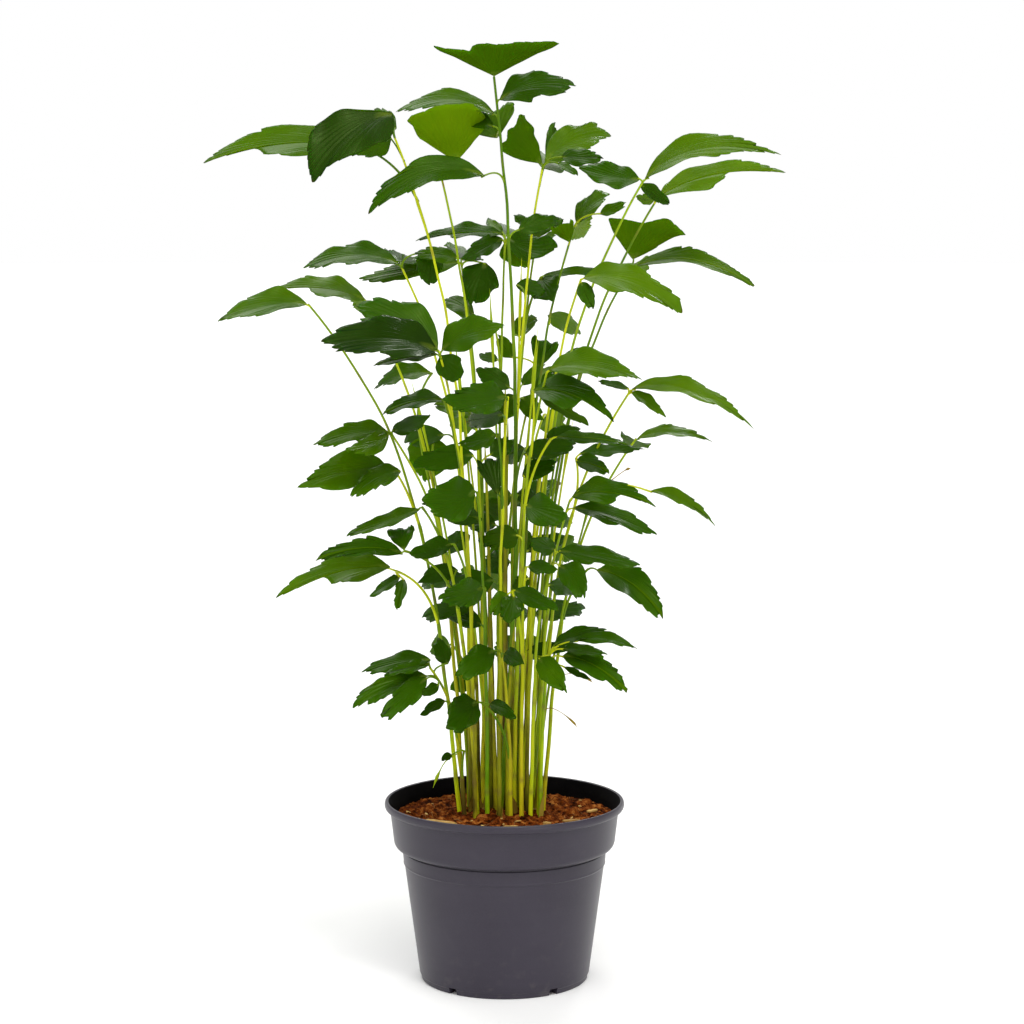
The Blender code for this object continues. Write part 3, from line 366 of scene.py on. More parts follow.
# Leaflets: base and tip as seen, depth of the tip, how far the upper and lower edges stand off the line
# between them as seen, and how many degrees the upper edge leans away from the viewer
STEMS = (
    stem("centre", (-4, -3), (-10, 898, 0), 0.1, (
        (-10, 899, -8, 932, -14, 61, 61, 0, "wedge"), (-4, 875, 72, 889, -30, 22, 5, 50),
        (-9, 860, -110, 865, 30, 23, -6, 60), (-7, 837, -17, 865, 50, 28, 36, 0, "wedge"),
        (-19, 799, -136, 764, -50, 34, -6, 42),
    ), bow=16.0, radius=2.9),
    stem("top_left", (-34, -3), (-110, 839, -10), 0.05, (
        (-112, 862, -192, 795, -60, 34, 12, 35), (-108, 846, -132, 866, 40, 9, 8, 30),
    ), (
        ((-146, 828, 20), 775, ((-150, 828, -303, 816, 45, 25, 6, 52),)),
    )),
    stem("top_left_back", (-21, -2), (-63, 799, 40), 0.05, (
        (-48, 813, -61, 867, 0, 28, 40, 0, "wedge"), (-64, 800, -56, 816, 135, 20, 20, 0),
    )),
    stem("top_right_back", (7, 6), (39, 810, 45), 0.1, (
        (38, 811, 4, 843, 15, 19, 12, 20, "wedge"), (41, 812, 108, 841, 90, 26, 6, 40),
        (57, 818, 99, 819, 20, 8, 10, 45), (54, 812, 74, 800, 10, 5, 4, 45),
        (39, 807, 46, 820, 150, 20, 20, 0),
    ), (
        ((22, 527, 50), 480, ((24, 527, 53, 511, 78, 13, 11, 30), (20, 527, -8, 514, 84, 13, 11, 30))),
    )),
    stem("top_right", (19, -2), (140, 795, -20), 0.25, (
        (141, 796, 277, 822, -60, 32, -9, 55), (136, 796, 72, 811, 10, 8, 16, 45),
    )),
    stem("far_right", (29, 8), (154, 777, 25), 0.25, (
        (155, 778, 283, 805, 50, 22, -1, 55), (155, 779, 194, 809, 90, 5, 5, 50),
        (151, 776, 132, 779, 0, 4, 8, 40),
    )),
    stem("right_back", (25, 19), (129, 711, 65), 0.25, (
        (129, 716, 137, 757, 30, 32, 42, 0, "wedge"), (131, 708, 251, 691, 40, 24, -9, 62),
        (130, 711, 136, 700, 150, 18, 18, 0),
    ), (
        ((52, 430, 55), 370, ((54, 430, 72, 420, 125, 16, 16, 0),)),
    )),
    stem("right_front", (22, -13), (77, 696, -45), 0.2, (
        (79, 697, 178, 668, -100, 24, 3, 50), (77, 693, 90, 667, -70, 7, 9, 20),
    )),
    stem("back_right", (15, 12), (71, 750, 105), 0.15, (
        (72, 752, 106, 782, 130, 14, 5, 40), (96, 761, 123, 772, 80, 6, 6, 40),
        (66, 733, 57, 753, 80, 12, 13, 0, "wedge"), (72, 750, 80, 740, 195, 18, 18, 0),
    ), (
        ((40, 560, 70), 500, ((42, 560, 60, 548, 150, 18, 16, 0),)),
    )),
    stem("back", (-6, 13), (1, 737, 110), 0.1, (
        (-1, 741, -90, 735, 120, 12, 3, 62), (-1, 742, -18, 756, 140, 5, 4, 40),
        (-1, 736, -43, 717, 75, 10, 9, 40), (4, 738, 53, 729, 70, 6, 22, 35),
        (2, 739, 6, 752, 215, 24, 22, 0),
    ), (
        ((-10, 650, 85), 590, ((-12, 650, -40, 640, 160, 12, 12, 20),)),
    )),
    stem("back_tall", (6, 20), (32, 735, 125), 0.1, (
        (33, 737, 34, 761, 150, 26, 28, 0, "wedge"), (33, 735, 40, 722, 215, 20, 20, 0),
    ), (
        ((37, 698, 95), 645, ((38, 699, 116, 706, 110, 5, 3, 68), (37, 697, 48, 675, 60, 16, 18, 25))),
        ((16, 330, 50), 280, ((14, 330, -8, 320, 110, 14, 14, 0), (18, 330, 40, 322, 115, 14, 14, 0))),
    )),
    stem("back_low", (-5, 26), (34, 606, 120), 0.15, (
        (34, 607, 41, 637, 140, 14, 16, 0, "wedge"), (8, 617, -7, 642, 90, 8, 9, 20),
        (34, 604, 38, 592, 215, 22, 22, 0),
    ), (
        ((6, 440, 60), 395, ((4, 440, -14, 417, 90, 13, 13, 20), (8, 441, 32, 424, 95, 13, 13, 20))),
        ((10, 480, 75), 420, ((8, 480, -30, 470, 140, 12, 12, 20), (12, 480, 50, 472, 150, 12, 12, 20))),
    )),
    stem("left_far_back", (-18, 16), (-43, 713, 95), 0.1, (
        (-44, 713, -146, 698, 110, 9, 10, 55), (-18, 712, -31, 669, 60, 20, 18, 25),
        (-42, 715, -38, 728, 190, 22, 22, 0),
    ), (
        ((-30, 560, 70), 500, ((-32, 560, -50, 548, 160, 18, 16, 0),)),
        ((-22, 470, 62), 420, ((-24, 470, -47, 453, 100, 13, 13, 20), (-20, 471, 0, 456, 110, 13, 13, 20))),
        ((-24, 400, 55), 340, ((-26, 400, -48, 390, 130, 15, 15, 0), (-22, 400, 0, 392, 140, 15, 15, 0))),
    )),
    stem("left_back", (-30, 10), (-103, 709, 70), 0.1, (
        (-105, 711, -202, 707, 95, 21, -1, 62), (-72, 724, -76, 690, 50, 14, 14, 25),
        (-103, 712, -100, 722, 165, 20, 20, 0),
    ), (
        ((-52, 330, 45), 280, ((-54, 330, -74, 322, 100, 15, 15, 0),)),
    )),
    stem("left", (-41, 5), (-139, 675, 35), 0.3, (
        (-139, 675, -232, 688, 60, 17, 4, 60), (-138, 674, -140, 664, 130, 16, 16, 0),
    ), (
        ((-72, 602, 40), 550, ((-73, 602, -133, 587, 75, 14, 2, 62),)),
        ((-70, 537, 45), 480, ((-72, 538, -78, 492, 70, 24, 21, 15),)),
    )),
    stem("big_leaf", (-29, -26), (-65, 624, -85), 0.2, (
        (-67, 624, -184, 630, -140, 29, 8, 50), (-66, 626, -150, 667, -70, 28, 12, 45),
        (-66, 621, -131, 612, -110, 5, 4, 68), (-62, 625, 2, 650, -110, 20, 8, 45),
    ), (
        ((-60, 575, -60), 510, ((-61, 575, -122, 561, -85, 12, 2, 60),)),
        ((-50, 431, -50), 385, ((-52, 431, -95, 419, -75, 8, 9, 45),)),
    )),
    stem("far_left", (-45, -6), (-196, 671, -25), 0.35, (
        (-197, 671, -288, 653, -50, 18, 4, 58),
    ), (
        ((-110, 505, -45), 458, (
            (-116, 507, -207, 488, -80, 21, 10, 45), (-103, 504, -153, 477, -95, 16, 5, 40))),
        ((-108, 404, -40), 360, (
            (-114, 408, -229, 377, -60, 23, 4, 50), (-104, 398, -134, 381, -90, 4, 5, 60),
            (-100, 396, -108, 366, -85, 6, 6, 30))),
    )),
    stem("left_front", (-27, -15), (-114, 543, -60), 0.3, (
        (-116, 543, -191, 528, -95, 13, 3, 60), (-115, 541, -158, 526, -115, 4, 14, 45),
        (-112, 544, -74, 561, -95, 5, 10, 50),
    ), (
        ((-82, 468, -45), 430, ((-84, 466, -159, 439, -70, 5, 6, 60),)),
        ((-99, 424, -60), 375, (
            (-101, 421, -188, 418, -95, 16, 0, 62), (-100, 425, -104, 449, -40, 14, 14, 0, "wedge"))),
    )),
    stem("front_right_high", (10, -14), (43, 603, -80), 0.2, (
        (45, 605, 138, 597, -120, 20, 1, 58),
    ), (
        ((29, 584, -70), 530, ((29, 584, 110, 554, -120, 25, 4, 48), (35, 580, 86, 549, -70, 4, 6, 50))),
        ((47, 536, -55), 480, ((51, 538, 125, 533, -60, 5, 3, 66),)),
    )),
    stem("right", (32, -2), (127, 585, -35), 0.3, (
        (128, 586, 251, 550, -70, 25, -9, 58), (127, 583, 162, 557, -60, 8, 3, 45),
        (125, 586, 93, 594, 0, 4, 3, 50),
    ), (
        ((72, 517, -25), 470, ((75, 521, 142, 526, -30, 6, 4, 64), (72, 514, 106, 503, -60, 10, 6, 45))),
    )),
    stem("front", (-5, -27), (4, 578, -95), 0.2, (
        (2, 578, -60, 573, -150, 14, 15, 35),
    ), (
        ((-6, 541, -75), 480, ((-8, 541, -45, 530, -110, 6, 10, 45),)),
    )),
    stem("front_left", (-17, -25), (-27, 483, -85), 0.2, (
        (-29, 484, -80, 473, -130, 14, 25, 30),
    ), (
        ((-19, 387, -55), 335, ((-21, 387, -64, 374, -110, 12, 13, 35),)),
    )),
    stem("front_right", (17, -27), (21, 470, -85), 0.2, (
        (22, 470, 62, 456, -130, 13, 14, 35),
    ), (
        ((8, 384, -65), 330, (
            (10, 385, 54, 365, -100, 8, 8, 40), (10, 379, 5, 352, -105, 11, 11, 20),
            (4, 381, -14, 362, -90, 9, 9, 30))),
        ((22, 408, -60), 355, ((24, 408, 53, 405, -90, 7, 5, 45),)),
    )),
    stem("right_low", (34, -12), (66, 475, -55), 0.25, (
        (68, 478, 151, 470, -100, 20, 2, 52), (146, 484, 212, 449, -30, 13, -3, 60),
        (69, 467, 154, 440, -60, 12, 3, 60),
    )),
    stem("right_slim", (39, 5), (132, 536, 40), 0.3, (
        (133, 536, 209, 534, 60, 15, -4, 62), (131, 535, 128, 528, 130, 16, 16, 0),
    ), (
        ((84, 406, 15), 360, ((93, 405, 160, 359, -30, 23, 5, 45),)),
    )),
    stem("front_right_low", (26, -24), (52, 423, -65), 0.2, (
        (54, 424, 137, 411, -90, 8, 6, 62), (55, 409, 79, 375, -110, 18, 6, 30),
        (51, 425, 25, 434, -95, 8, 8, 40),
    )),
    stem("low_left", (-40, -17), (-74, 307, -55), 0.3, (
        (-73, 315, -143, 302, -60, 11, 3, 58), (-74, 311, -120, 301, -85, 5, 4, 62),
        (-77, 299, -152, 266, -85, 16, 4, 50), (-77, 297, -123, 257, -105, 10, 10, 35),
        (-65, 290, -82, 279, -80, 5, 5, 40), (-56, 311, -68, 337, -25, 8, 9, 10),
    ), (
        ((-56, 273, -35), 235, ((-59, 274, -84, 261, -60, 5, 4, 50),)),
        ((-40, 224, -30), 195, ((-52, 220, -63, 215, -45, 4, 3, 40),)),
    )),
    stem("low_front", (6, -27), (-4, 325, -55), 0.2, (
        (-10, 325, -47, 297, -90, 13, 12, 35), (0, 321, 20, 311, -90, 9, 7, 30),
    ), (
        ((-22, 272, -50), 225, ((-27, 273, -58, 247, -90, 16, 15, 25), (-15, 271, 12, 256, -85, 8, 4, 45))),
    )),
    stem("low_right", (36, -22), (47, 324, -50), 0.2, (
        (34, 317, 63, 282, -95, 12, 10, 25), (49, 329, 104, 345, -45, 9, 2, 60),
        (72, 334, 135, 327, -60, 11, -2, 60), (58, 326, 104, 320, -85, 6, 3, 60),
        (58, 319, 123, 285, -95, 18, 3, 48), (60, 308, 89, 294, -75, 3, 3, 40),
    )),
)


def stem_point(one, share):
    """A point on a stem, from 0 where it leaves the medium to 1 at its top fork."""
    x, y = one.root
    spread = one.lean * share + (1.0 - one.lean) * share ** STEM_CURL
    return Vector((x + (one.top.x - x) * spread + one.bow * (4.0 * share * (1.0 - share)),
                   y + (one.top.y - y) * spread, STEM_START + (one.top.z - STEM_START) * share))


def share_of(one, height):
    """How far up its stem a height is."""
    return (height - STEM_START) / (one.top.z - STEM_START)


def on_stem(one, height):
    """The point on a stem at a height, and the stem's direction there."""
    points = [stem_point(one, (step / STEM_STEPS) ** STEM_STEP_EASE) for step in range(STEM_STEPS + 1)]
    for low, high in zip(points, points[1:]):
        if height <= high.z:
            break
    along = high - low
    return low + along * ((height - low.z) / along.z), along.normalized()


def soft_curve(start, middle, end, steps):
    return [start * (1 - t) ** 2 + middle * 2 * t * (1 - t) + end * t ** 2
            for t in (step / steps for step in range(steps + 1))]


def bend(start, leaving, end, steps):
    """A soft curve that leaves start in one direction and reaches end."""
    span = (end - start).length
    middle = start + leaving.normalized() * span * BEND_HOLD + (end - start) * BEND_PULL
    return soft_curve(start, middle, end, steps)


def hang(one, leaf, number, joint, leaving, fork_depth, fork_seen, on_top):
    """Sets a leaflet's place in space: its base, tip, side and face, and the joint of its stalk."""
    seen_base, seen_tip = Vector(leaf.base), Vector(leaf.tip)
    seen_gap = (seen_base - fork_seen).length
    reach = seen_gap / (seen_gap + (seen_tip - seen_base).length)
    leaf.seed = SEED * 1000 + number
    leaf.ragged_up = random.Random(leaf.seed).random() > RAGGED_BELOW_SHARE
    leaf.ragged_above = leaf.ragged_up and ENDINGS.get(leaf.tip) != "low step"
    shift, twist = CLEARED.get(leaf.tip, (0, 0))
    along = (seen_tip - seen_base).normalized()
    edge = Vector((-along.y, along.x))
    if edge.y < 0 or (edge.y == 0 and edge.x > 0):
        edge = -edge
    far = leaf.depth + shift
    leaf.start = seen_from_front(*leaf.base, fork_depth + (far - fork_depth) * reach)
    leaf.end = seen_from_front(*leaf.tip, far)
    side = Vector((edge.x, math.tan(math.radians(leaf.turn + twist)), edge.y))
    leaf.face = (leaf.end - leaf.start).cross(side).normalized()
    if leaf.face.z < 0:
        leaf.face = -leaf.face
    half = max(leaf.upper, leaf.lower) if leaf.wedge else (leaf.upper + leaf.lower) / 2.0
    arch = 0.0 if leaf.wedge else (leaf.upper - leaf.lower) / 2.0
    leaf.side = side * half
    leaf.arch = Vector((edge.x, 0.0, edge.y)) * arch
    leaf.length = (leaf.end - leaf.start).length
    leaf.joint, leaf.leaving, leaf.on_top = joint, leaving, on_top
    one.hung.append(leaf)


def lay_out():
    """Hangs the leaflets of every stem on its top fork and on its side forks."""
    number = 0
    for one in STEMS:
        for rank, leaf in enumerate(one.leaves):
            number += 1
            base = seen_from_front(*leaf.base, one.place[2]).z
            height = min(one.top.z - JOINT_INSET, base - JOINT_DROP) - JOINT_SPACING * rank
            hang(one, leaf, number, *on_stem(one, height), one.place[2], Vector(one.place[:2]), True)
        for branch in one.forks:
            branch.path = bend(*on_stem(one, branch.start), branch.point, STALK_STEPS)
            last = branch.path[-1]
            back = (branch.path[-2] - last).normalized()
            for rank, leaf in enumerate(branch.leaves):
                number += 1
                joint = last + back * (JOINT_INSET + JOINT_SPACING * rank)
                hang(one, leaf, number, joint, -back, branch.place[2], Vector(branch.place[:2]), False)


def nearest_stem(base):
    """The stem that passes nearest to a place as seen, how far up it that is, and its point there."""
    best = None
    for one in STEMS:
        for share in np.linspace(0.15, 0.98, 60):
            point = stem_point(one, share)
            gap = (as_seen(point) - Vector(base)).length + one.sprigs * SPRIG_SPREAD
            if best is None or gap < best[0]:
                best = (gap, one, float(share), point)
    return best[1:]


def add_sprigs():
    """Hangs the leaflets inside the clump, each on the stem that passes nearest to it."""
    for number, row in enumerate(SPRIGS):
        leaf = leaflet(*row)
        one, share, point = nearest_stem(leaf.base)
        one.sprigs += 1
        gap = abs(as_seen(point).x - leaf.base[0])
        low = max(share - (5.0 + 0.7 * gap) / (one.top.z - STEM_START), 0.06)
        joint = stem_point(one, low)
        leaving = (stem_point(one, min(low + 0.04, 1.0)) - joint).normalized()
        leaf.depth += point.y
        hang(one, leaf, 900 + number, joint, leaving, point.y, as_seen(joint), False)


class Shell:
    """Gathers the points, faces, looks and point values of one piece."""

    def __init__(self):
        self.points, self.faces, self.looks = [], [], []
        self.values = {name: [] for name in POINT_VALUES}
        self.count = 0

    def add(self, points, faces, look, **values):
        """Points in millimetres and faces that count from this call's first point."""
        points = np.asarray(points, float).reshape(-1, 3)
        self.points.append(points)
        self.faces += [tuple(index + self.count for index in face) for face in faces]
        self.looks += [look] * len(faces) if isinstance(look, int) else look
        for name in POINT_VALUES:
            value = np.asarray(values.get(name, 0.0), float)
            self.values[name].append(np.broadcast_to(value, len(points)))
        self.count += len(points)

    def piece(self, name, looks, slot, *nodes):
        """The finished piece, which rides on the plant's one body and stands for these nodes."""
        mesh = bpy.data.meshes.new(name)
        mesh.from_pydata((np.concatenate(self.points) * MM).tolist(), [], self.faces)
        for look in looks:
            mesh.materials.append(look)
        mesh.polygons.foreach_set("material_index", self.looks)
        mesh.polygons.foreach_set("use_smooth", [True] * len(self.faces))
        for value_name in POINT_VALUES:
            layer = mesh.attributes.new(value_name, "FLOAT", "POINT")
            layer.data.foreach_set("value", np.concatenate(self.values[value_name]).astype(np.float32))
        mesh.update()
        made = linked(name, mesh)
        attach(made, "root")
        if nodes:
            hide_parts(*nodes)
        return made


def linked(name, data):
    """A new object in the scene."""
    made = bpy.data.objects.new(name, data)
    bpy.context.scene.collection.objects.link(made)
    return made


def turns(count):
    return [math.tau * step / count for step in range(count)]


def grid_faces(rows, columns, first=0, around=False, flip=False):
    """Faces of a grid of points, closed round its columns or not."""
    faces = []
    for row in range(rows - 1):
        for column in range(columns if around else columns - 1):
            a = first + row * columns + column
            b = first + row * columns + (column + 1) % columns
            face = (a, b, b + columns, a + columns)
            faces.append(face[::-1] if flip else face)
    return faces


def closed_faces(rows, columns, flip=False):
    """Faces of a grid that is closed round its columns, and has a lid at both ends."""
    lids = [tuple(reversed(range(columns))), tuple(range((rows - 1) * columns, rows * columns))]
    if flip:
        lids = [lid[::-1] for lid in lids]
    return grid_faces(rows, columns, around=True, flip=flip) + lids


def rim_faces(loop, count):
    """Faces that join a line on the upper face of a leaf to the same line on its lower face."""
    return [(after, here, here + count, after + count) for here, after in zip(loop, loop[1:])]


def fine_tube(shell, path, radii, look, sides=8, **values):
    """A smooth closed tube along a path."""
    path = [Vector(point) for point in path]
    points = []
    across = Vector((0.9, 0.3, 0.1))
    for index, point in enumerate(path):
        along = (path[min(index + 1, len(path) - 1)] - path[max(index - 1, 0)]).normalized()
        across = (across - along * across.dot(along)).normalized()
        beside = along.cross(across)
        points += [point + (across * math.cos(turn) + beside * math.sin(turn)) * radii[index]
                   for turn in turns(sides)]
    spread = {name: np.repeat(value, sides) if np.ndim(value) else value for name, value in values.items()}
    shell.add(points, closed_faces(len(path), sides), look, **spread)


def arc_of(line):
    """How far along a line each of its points is."""
    return np.concatenate(((0.0,), np.cumsum(np.hypot(*np.diff(line, axis=0).T))))


def smooth_path(path):
    """A dense soft line through the points of a path."""
    arc = arc_of(path)
    fine = np.arange(0.0, arc[-1], 0.5)
    slopes = np.gradient(path, arc, axis=0)
    index = np.clip(np.searchsorted(arc, fine, side="right") - 1, 0, len(arc) - 2)
    step = (arc[index + 1] - arc[index])[:, None]
    t = ((fine - arc[index]) / step[:, 0])[:, None]
    return ((2 * t ** 3 - 3 * t ** 2 + 1) * path[index]
            + (t ** 3 - 2 * t ** 2 + t) * step * slopes[index] * MARGIN_EASE
            + (3 * t ** 2 - 2 * t ** 3) * path[index + 1]
            + (t ** 3 - t ** 2) * step * slopes[index + 1] * MARGIN_EASE)


def blade_outline(leaf, kind, draw):
    """Outline of a long leaflet as (place, half width) points, from its lower edge at the base over its
    tip to its upper edge. It ends in a tail, a slanting cut, a blunt edge, a low corner, or a step."""
    ragged = [(place, width * draw.uniform(0.94, 1.08)) for place, width in BLADE_SIDE]
    smooth = [(place, width * draw.uniform(0.97, 1.05)) for place, width in BLADE_SIDE]
    if kind in BLADE_ENDS:
        more_ragged, more_smooth, end = BLADE_ENDS[kind]
        ragged += more_ragged
        smooth += more_smooth
    elif kind == "cut":
        corner = draw.uniform(0.84, 0.90)
        ragged += [(corner - 0.10, 0.70), (corner, draw.uniform(0.45, 0.60))]
        smooth += [(0.84, 0.66), (0.94, draw.uniform(0.36, 0.48))]
        end = [(0.5 * corner + 0.49, 0.10), (1.0, -draw.uniform(0.12, 0.26))]
    else:
        step = draw.uniform(0.50, 0.62)
        ragged = [point for point in ragged if point[0] < step - 0.06]
        ragged += [(step + more, width) for more, width in STEP_CORNER]
        ragged += [(0.80, 0.08), (0.92, 0.0)]
        smooth += [(0.82, 0.56), (0.92, 0.36)]
        end = [(1.0, -draw.uniform(0.02, 0.12))]
    low, sign, high = (smooth, 1.0, ragged) if leaf.ragged_above else (ragged, -1.0, smooth)
    return ([(place, -width) for place, width in low] + [(place, sign * width) for place, width in end]
            + high[::-1])


def wedge_outline(draw):
    """Outline of a wedge-shaped leaflet, with round corners and a lobed far edge."""
    lobes = []
    for place, reach in WEDGE_LOBES:
        lobes.append((reach * draw.uniform(0.965, 1.03), place + draw.uniform(-0.07, 0.07)))
    low = [(place, -width) for place, width in (*WEDGE_SIDE, (0.87, 0.98))]
    return low + lobes + [*WEDGE_SIDE, (0.88, 0.98)][::-1]


def fine_outline(leaf, draw):
    """A leaflet's outline in millimetres in its own plane."""
    if leaf.tip in OUTLINES:
        points = OUTLINES[leaf.tip]
    elif leaf.wedge:
        points = wedge_outline(draw)
    else:
        kind = ENDINGS.get(leaf.tip) or draw.choice(("cut", "cut", "corner", "tail", "step"))
        if leaf.length < SHORT_LEAF and kind == "step":
            kind = "cut"
        points = blade_outline(leaf, kind, draw)
    half = leaf.side.length
    widest = max(leaf.upper, leaf.lower)
    low, high = (leaf.lower / widest, leaf.upper / widest) if leaf.wedge else (1.0, 1.0)
    path = np.array([(x * leaf.length, y * half * (high if y > 0 else low)) for x, y in points])
    return smooth_path(np.concatenate((path[:1] * 0.15, path, path[-1:] * 0.15)))


def margin_teeth(leaf, line, arc, draw):
    """Places along a margin, in millimetres of its length, and how far each is cut in."""
    tip_place = float(arc[int(np.argmax(line[:, 0]))])
    places, cuts = [], []
    place = 0.0
    while place < arc[-1]:
        x = float(np.interp(place, arc, line[:, 0])) / leaf.length
        upper = place > tip_place
        ragged = upper == leaf.ragged_above or leaf.wedge
        end = x > END_FROM[ragged]
        toothed = x > TEETH_FROM[ragged]
        if not toothed or (not end and draw.random() < TOOTH_MISSING[ragged]):
            places.append(place)
            cuts.append(0.25 * draw.random())
            place += SMOOTH_SPACING
            continue
        step = draw.uniform(*(END_TOOTH if end else SIDE_TOOTH))
        depth = draw.uniform(*(END_CUT if end else SIDE_CUT))
        depth *= SHORT_CUT if leaf.length < SMOOTH_LEAF else LONG_END_CUT if end else LONG_SIDE_CUT
        if end and leaf.tip in SPIKY:
            step, depth = step * SPIKY_TOOTH, depth * SPIKY_CUT
        if leaf.wedge:
            step, depth = step * WEDGE_TOOTH, depth * WEDGE_CUT
        if leaf.tip in OUTLINES:
            depth *= OUTLINED_CUT
        here = abs(float(np.interp(place + step / 2, arc, line[:, 1])))
        depth = min(depth, 0.45 * step + 0.4, depth if end and not x > 0.97 else 0.3 * here + 0.3)
        power = draw.uniform(0.8, 2.4)
        for share in TOOTH_SHARES:
            along = 1.0 - share if upper and not leaf.wedge else share
            places.append(place + share * step)
            cuts.append(depth * (1.0 - along) ** power)
        place += step
    places = np.array(places)
    keep = places < arc[-1]
    return places[keep], np.array(cuts)[keep]


def fine_leaf(shell, leaf, tone):
    """A thin leaflet with ribs that fan out from its base to its ragged margin."""
    draw = random.Random(leaf.seed + 17)
    length, half = leaf.length, leaf.side.length
    line = fine_outline(leaf, draw)
    arc = arc_of(line)
    places, cuts = margin_teeth(leaf, line, arc, draw)
    # The outline in the leaflet's own plane, in rows from its base to its margin
    ahead = np.gradient(line, arc, axis=0)
    ahead /= np.maximum(np.hypot(*ahead.T), 1e-6)[:, None]
    margin = np.stack([np.interp(places, arc, line[:, axis]) for axis in (0, 1)], axis=1)
    inward = np.stack((-np.interp(places, arc, ahead[:, 1]), np.interp(places, arc, ahead[:, 0])), axis=1)
    rows = LONG_LEAF_ROWS if length > SHORT_LEAF else SHORT_LEAF_ROWS
    radial = np.linspace(0.0, 1.0, rows) ** 0.85 * 0.985 + 0.015
    share = np.clip((radial - 0.6) / 0.4, 0.0, 1.0)
    share = share * share * (3.0 - 2.0 * share)
    flat = radial[:, None, None] * margin[None] + share[:, None, None] * (inward * cuts[:, None])[None]
    x, y = flat[..., 0] / length, flat[..., 1] / half
    # How far each point is lifted off that plane
    base, face, side = np.array(leaf.start), np.array(leaf.face), np.array(leaf.side)
    span = np.array(leaf.end) - base
    early = np.clip(x, 0.0, 1.0) ** (1.0 if leaf.wedge else ARCH_SKEW)
    rise = 4.0 * early * (1.0 - early)
    fold = LEAF_FOLD * half * (np.sqrt(y * y + 0.006) - 0.077) * (1.15 - 0.3 * x)
    waves = draw.uniform(1.6, 2.8)
    phase = draw.uniform(0.0, math.tau)
    wave = WAVE_HEIGHT * min(1.0, half / 18) * np.sin(waves * math.tau * x + phase + 1.3 * y) * y * np.abs(y)
    curl = half * y * y * np.where(y > 0, draw.uniform(-0.14, 0.10), draw.uniform(-0.20, 0.06))
    droop = -length * draw.uniform(0.0, 0.05) * np.clip(x, 0.0, 1.2) ** 3
    ridge = RIB_HEIGHT * np.cos(math.tau * places / RIDGE_SPACING + phase)[None, :]
    ridge = ridge * (np.clip(radial * 1.6, 0, 1) * (1.0 - 0.5 * radial ** 4))[:, None]
    lift = LEAF_RISE * length * rise + fold + wave + curl + droop + ridge
    middle = base + span * x[..., None] + np.array(leaf.arch) * ARCH_SHARE * rise[..., None]
    top = middle + side * y[..., None] + face * lift[..., None]
    # The lower face lies along smoothed normals
    out = np.cross(np.gradient(top, axis=0), np.gradient(top, axis=1))
    for _ in range(3):
        out[1:-1] = (out[:-2] + out[1:-1] + out[2:]) / 3.0
        out[:, 1:-1] = (out[:, :-2] + out[:, 1:-1] + out[:, 2:]) / 3.0
        out[0] = out[1]
    out /= np.maximum(np.linalg.norm(out, axis=2), 1e-9)[..., None]
    if float(np.dot(np.mean(out, axis=(0, 1)), face)) < 0:
        out = -out
    under = top - out * (BLADE_THICKNESS * (1.0 - 0.6 * radial ** 6))[:, None, None]
    columns = len(places)
    count = rows * columns
    faces = grid_faces(rows, columns) + grid_faces(rows, columns, count, flip=True)
    looks = [TOP_LOOK] * ((rows - 1) * (columns - 1)) + [UNDER_LOOK] * ((rows - 1) * (columns - 1))
    last = count - 1
    loop = [*range(columns - 1), *range(columns - 1, last, columns), *range(last, last - columns + 1, -1),
            *range(last - columns + 1, -1, -columns)]
    faces += rim_faces(loop, count)
    looks += [TOP_LOOK] * (len(loop) - 1)
    if float(np.dot(np.cross(span, side), face)) < 0:
        faces = [one[::-1] for one in faces]
    rib = np.broadcast_to(places[None, :], (rows, columns)).ravel()
    rim = np.broadcast_to(radial[:, None], (rows, columns)).ravel()
    shell.add(
        np.concatenate((top.reshape(-1, 3), under.reshape(-1, 3))), faces, looks,
        rib=np.tile(rib, 2), rim=np.tile(rim, 2), tone=tone,
        tip=0.0 if leaf.wedge else np.tile(np.clip(x, 0.0, 1.0).ravel(), 2),
    )


def fine_stem(shell, one, draw):
    """A stem with faint node rings, and a thicker sheath under each side frond."""
    shares = np.linspace(0.0, 1.0, FINE_STEM_STEPS)
    points = [Vector((*one.root, STEM_FOOT))] + [stem_point(one, share) for share in shares]
    heights = np.array([point.z for point in points])
    taper = np.concatenate(((0.0,), shares))
    radii = one.radius + (STEM_TIP_RADIUS - one.radius) * taper ** 0.8
    slim = 0.0 if one.name == "stem_centre" else STEM_SLIMMING
    radii = radii * (1.0 - slim * np.clip((heights - 250.0) / 180.0, 0.0, 1.0))
    rings = np.zeros(len(points))
    spot = STEM_START + draw.uniform(18, 50)
    while spot < heights[-1] - 30:
        rings = np.maximum(rings, np.exp(-((heights - spot) / 3.0) ** 2))
        spot += draw.uniform(45, 95)
    for branch in one.forks:
        below = np.clip((branch.start - heights) / 40.0, 0.0, 1.0)
        radii = radii + np.where(heights < branch.start + 2, 0.55 * (1.0 - below) ** 1.5, 0.0)
    radii = radii * (1.0 + 0.10 * rings)
    ways = (Vector((one.root[0], 0, 0)), Vector((0, one.root[0], 9)))
    drift = [Vector((*(noise.noise(point * 0.02 + way) for way in ways), 0.0)) for point in points]
    fade = np.clip((heights - SOIL_LEVEL) / 40.0, 0, 1) * np.clip((heights[-1] - heights) / 60.0, 0, 1)
    points = [point + shift * STEM_DRIFT * amount for point, shift, amount in zip(points, drift, fade)]
    old = np.clip(1.0 - (heights - SOIL_LEVEL) / draw.uniform(140, 380), 0, 1)
    fine_tube(shell, points, radii, STEM_LOOK, 12, rib=rings, rim=old, tone=draw.random(), tip=taper)


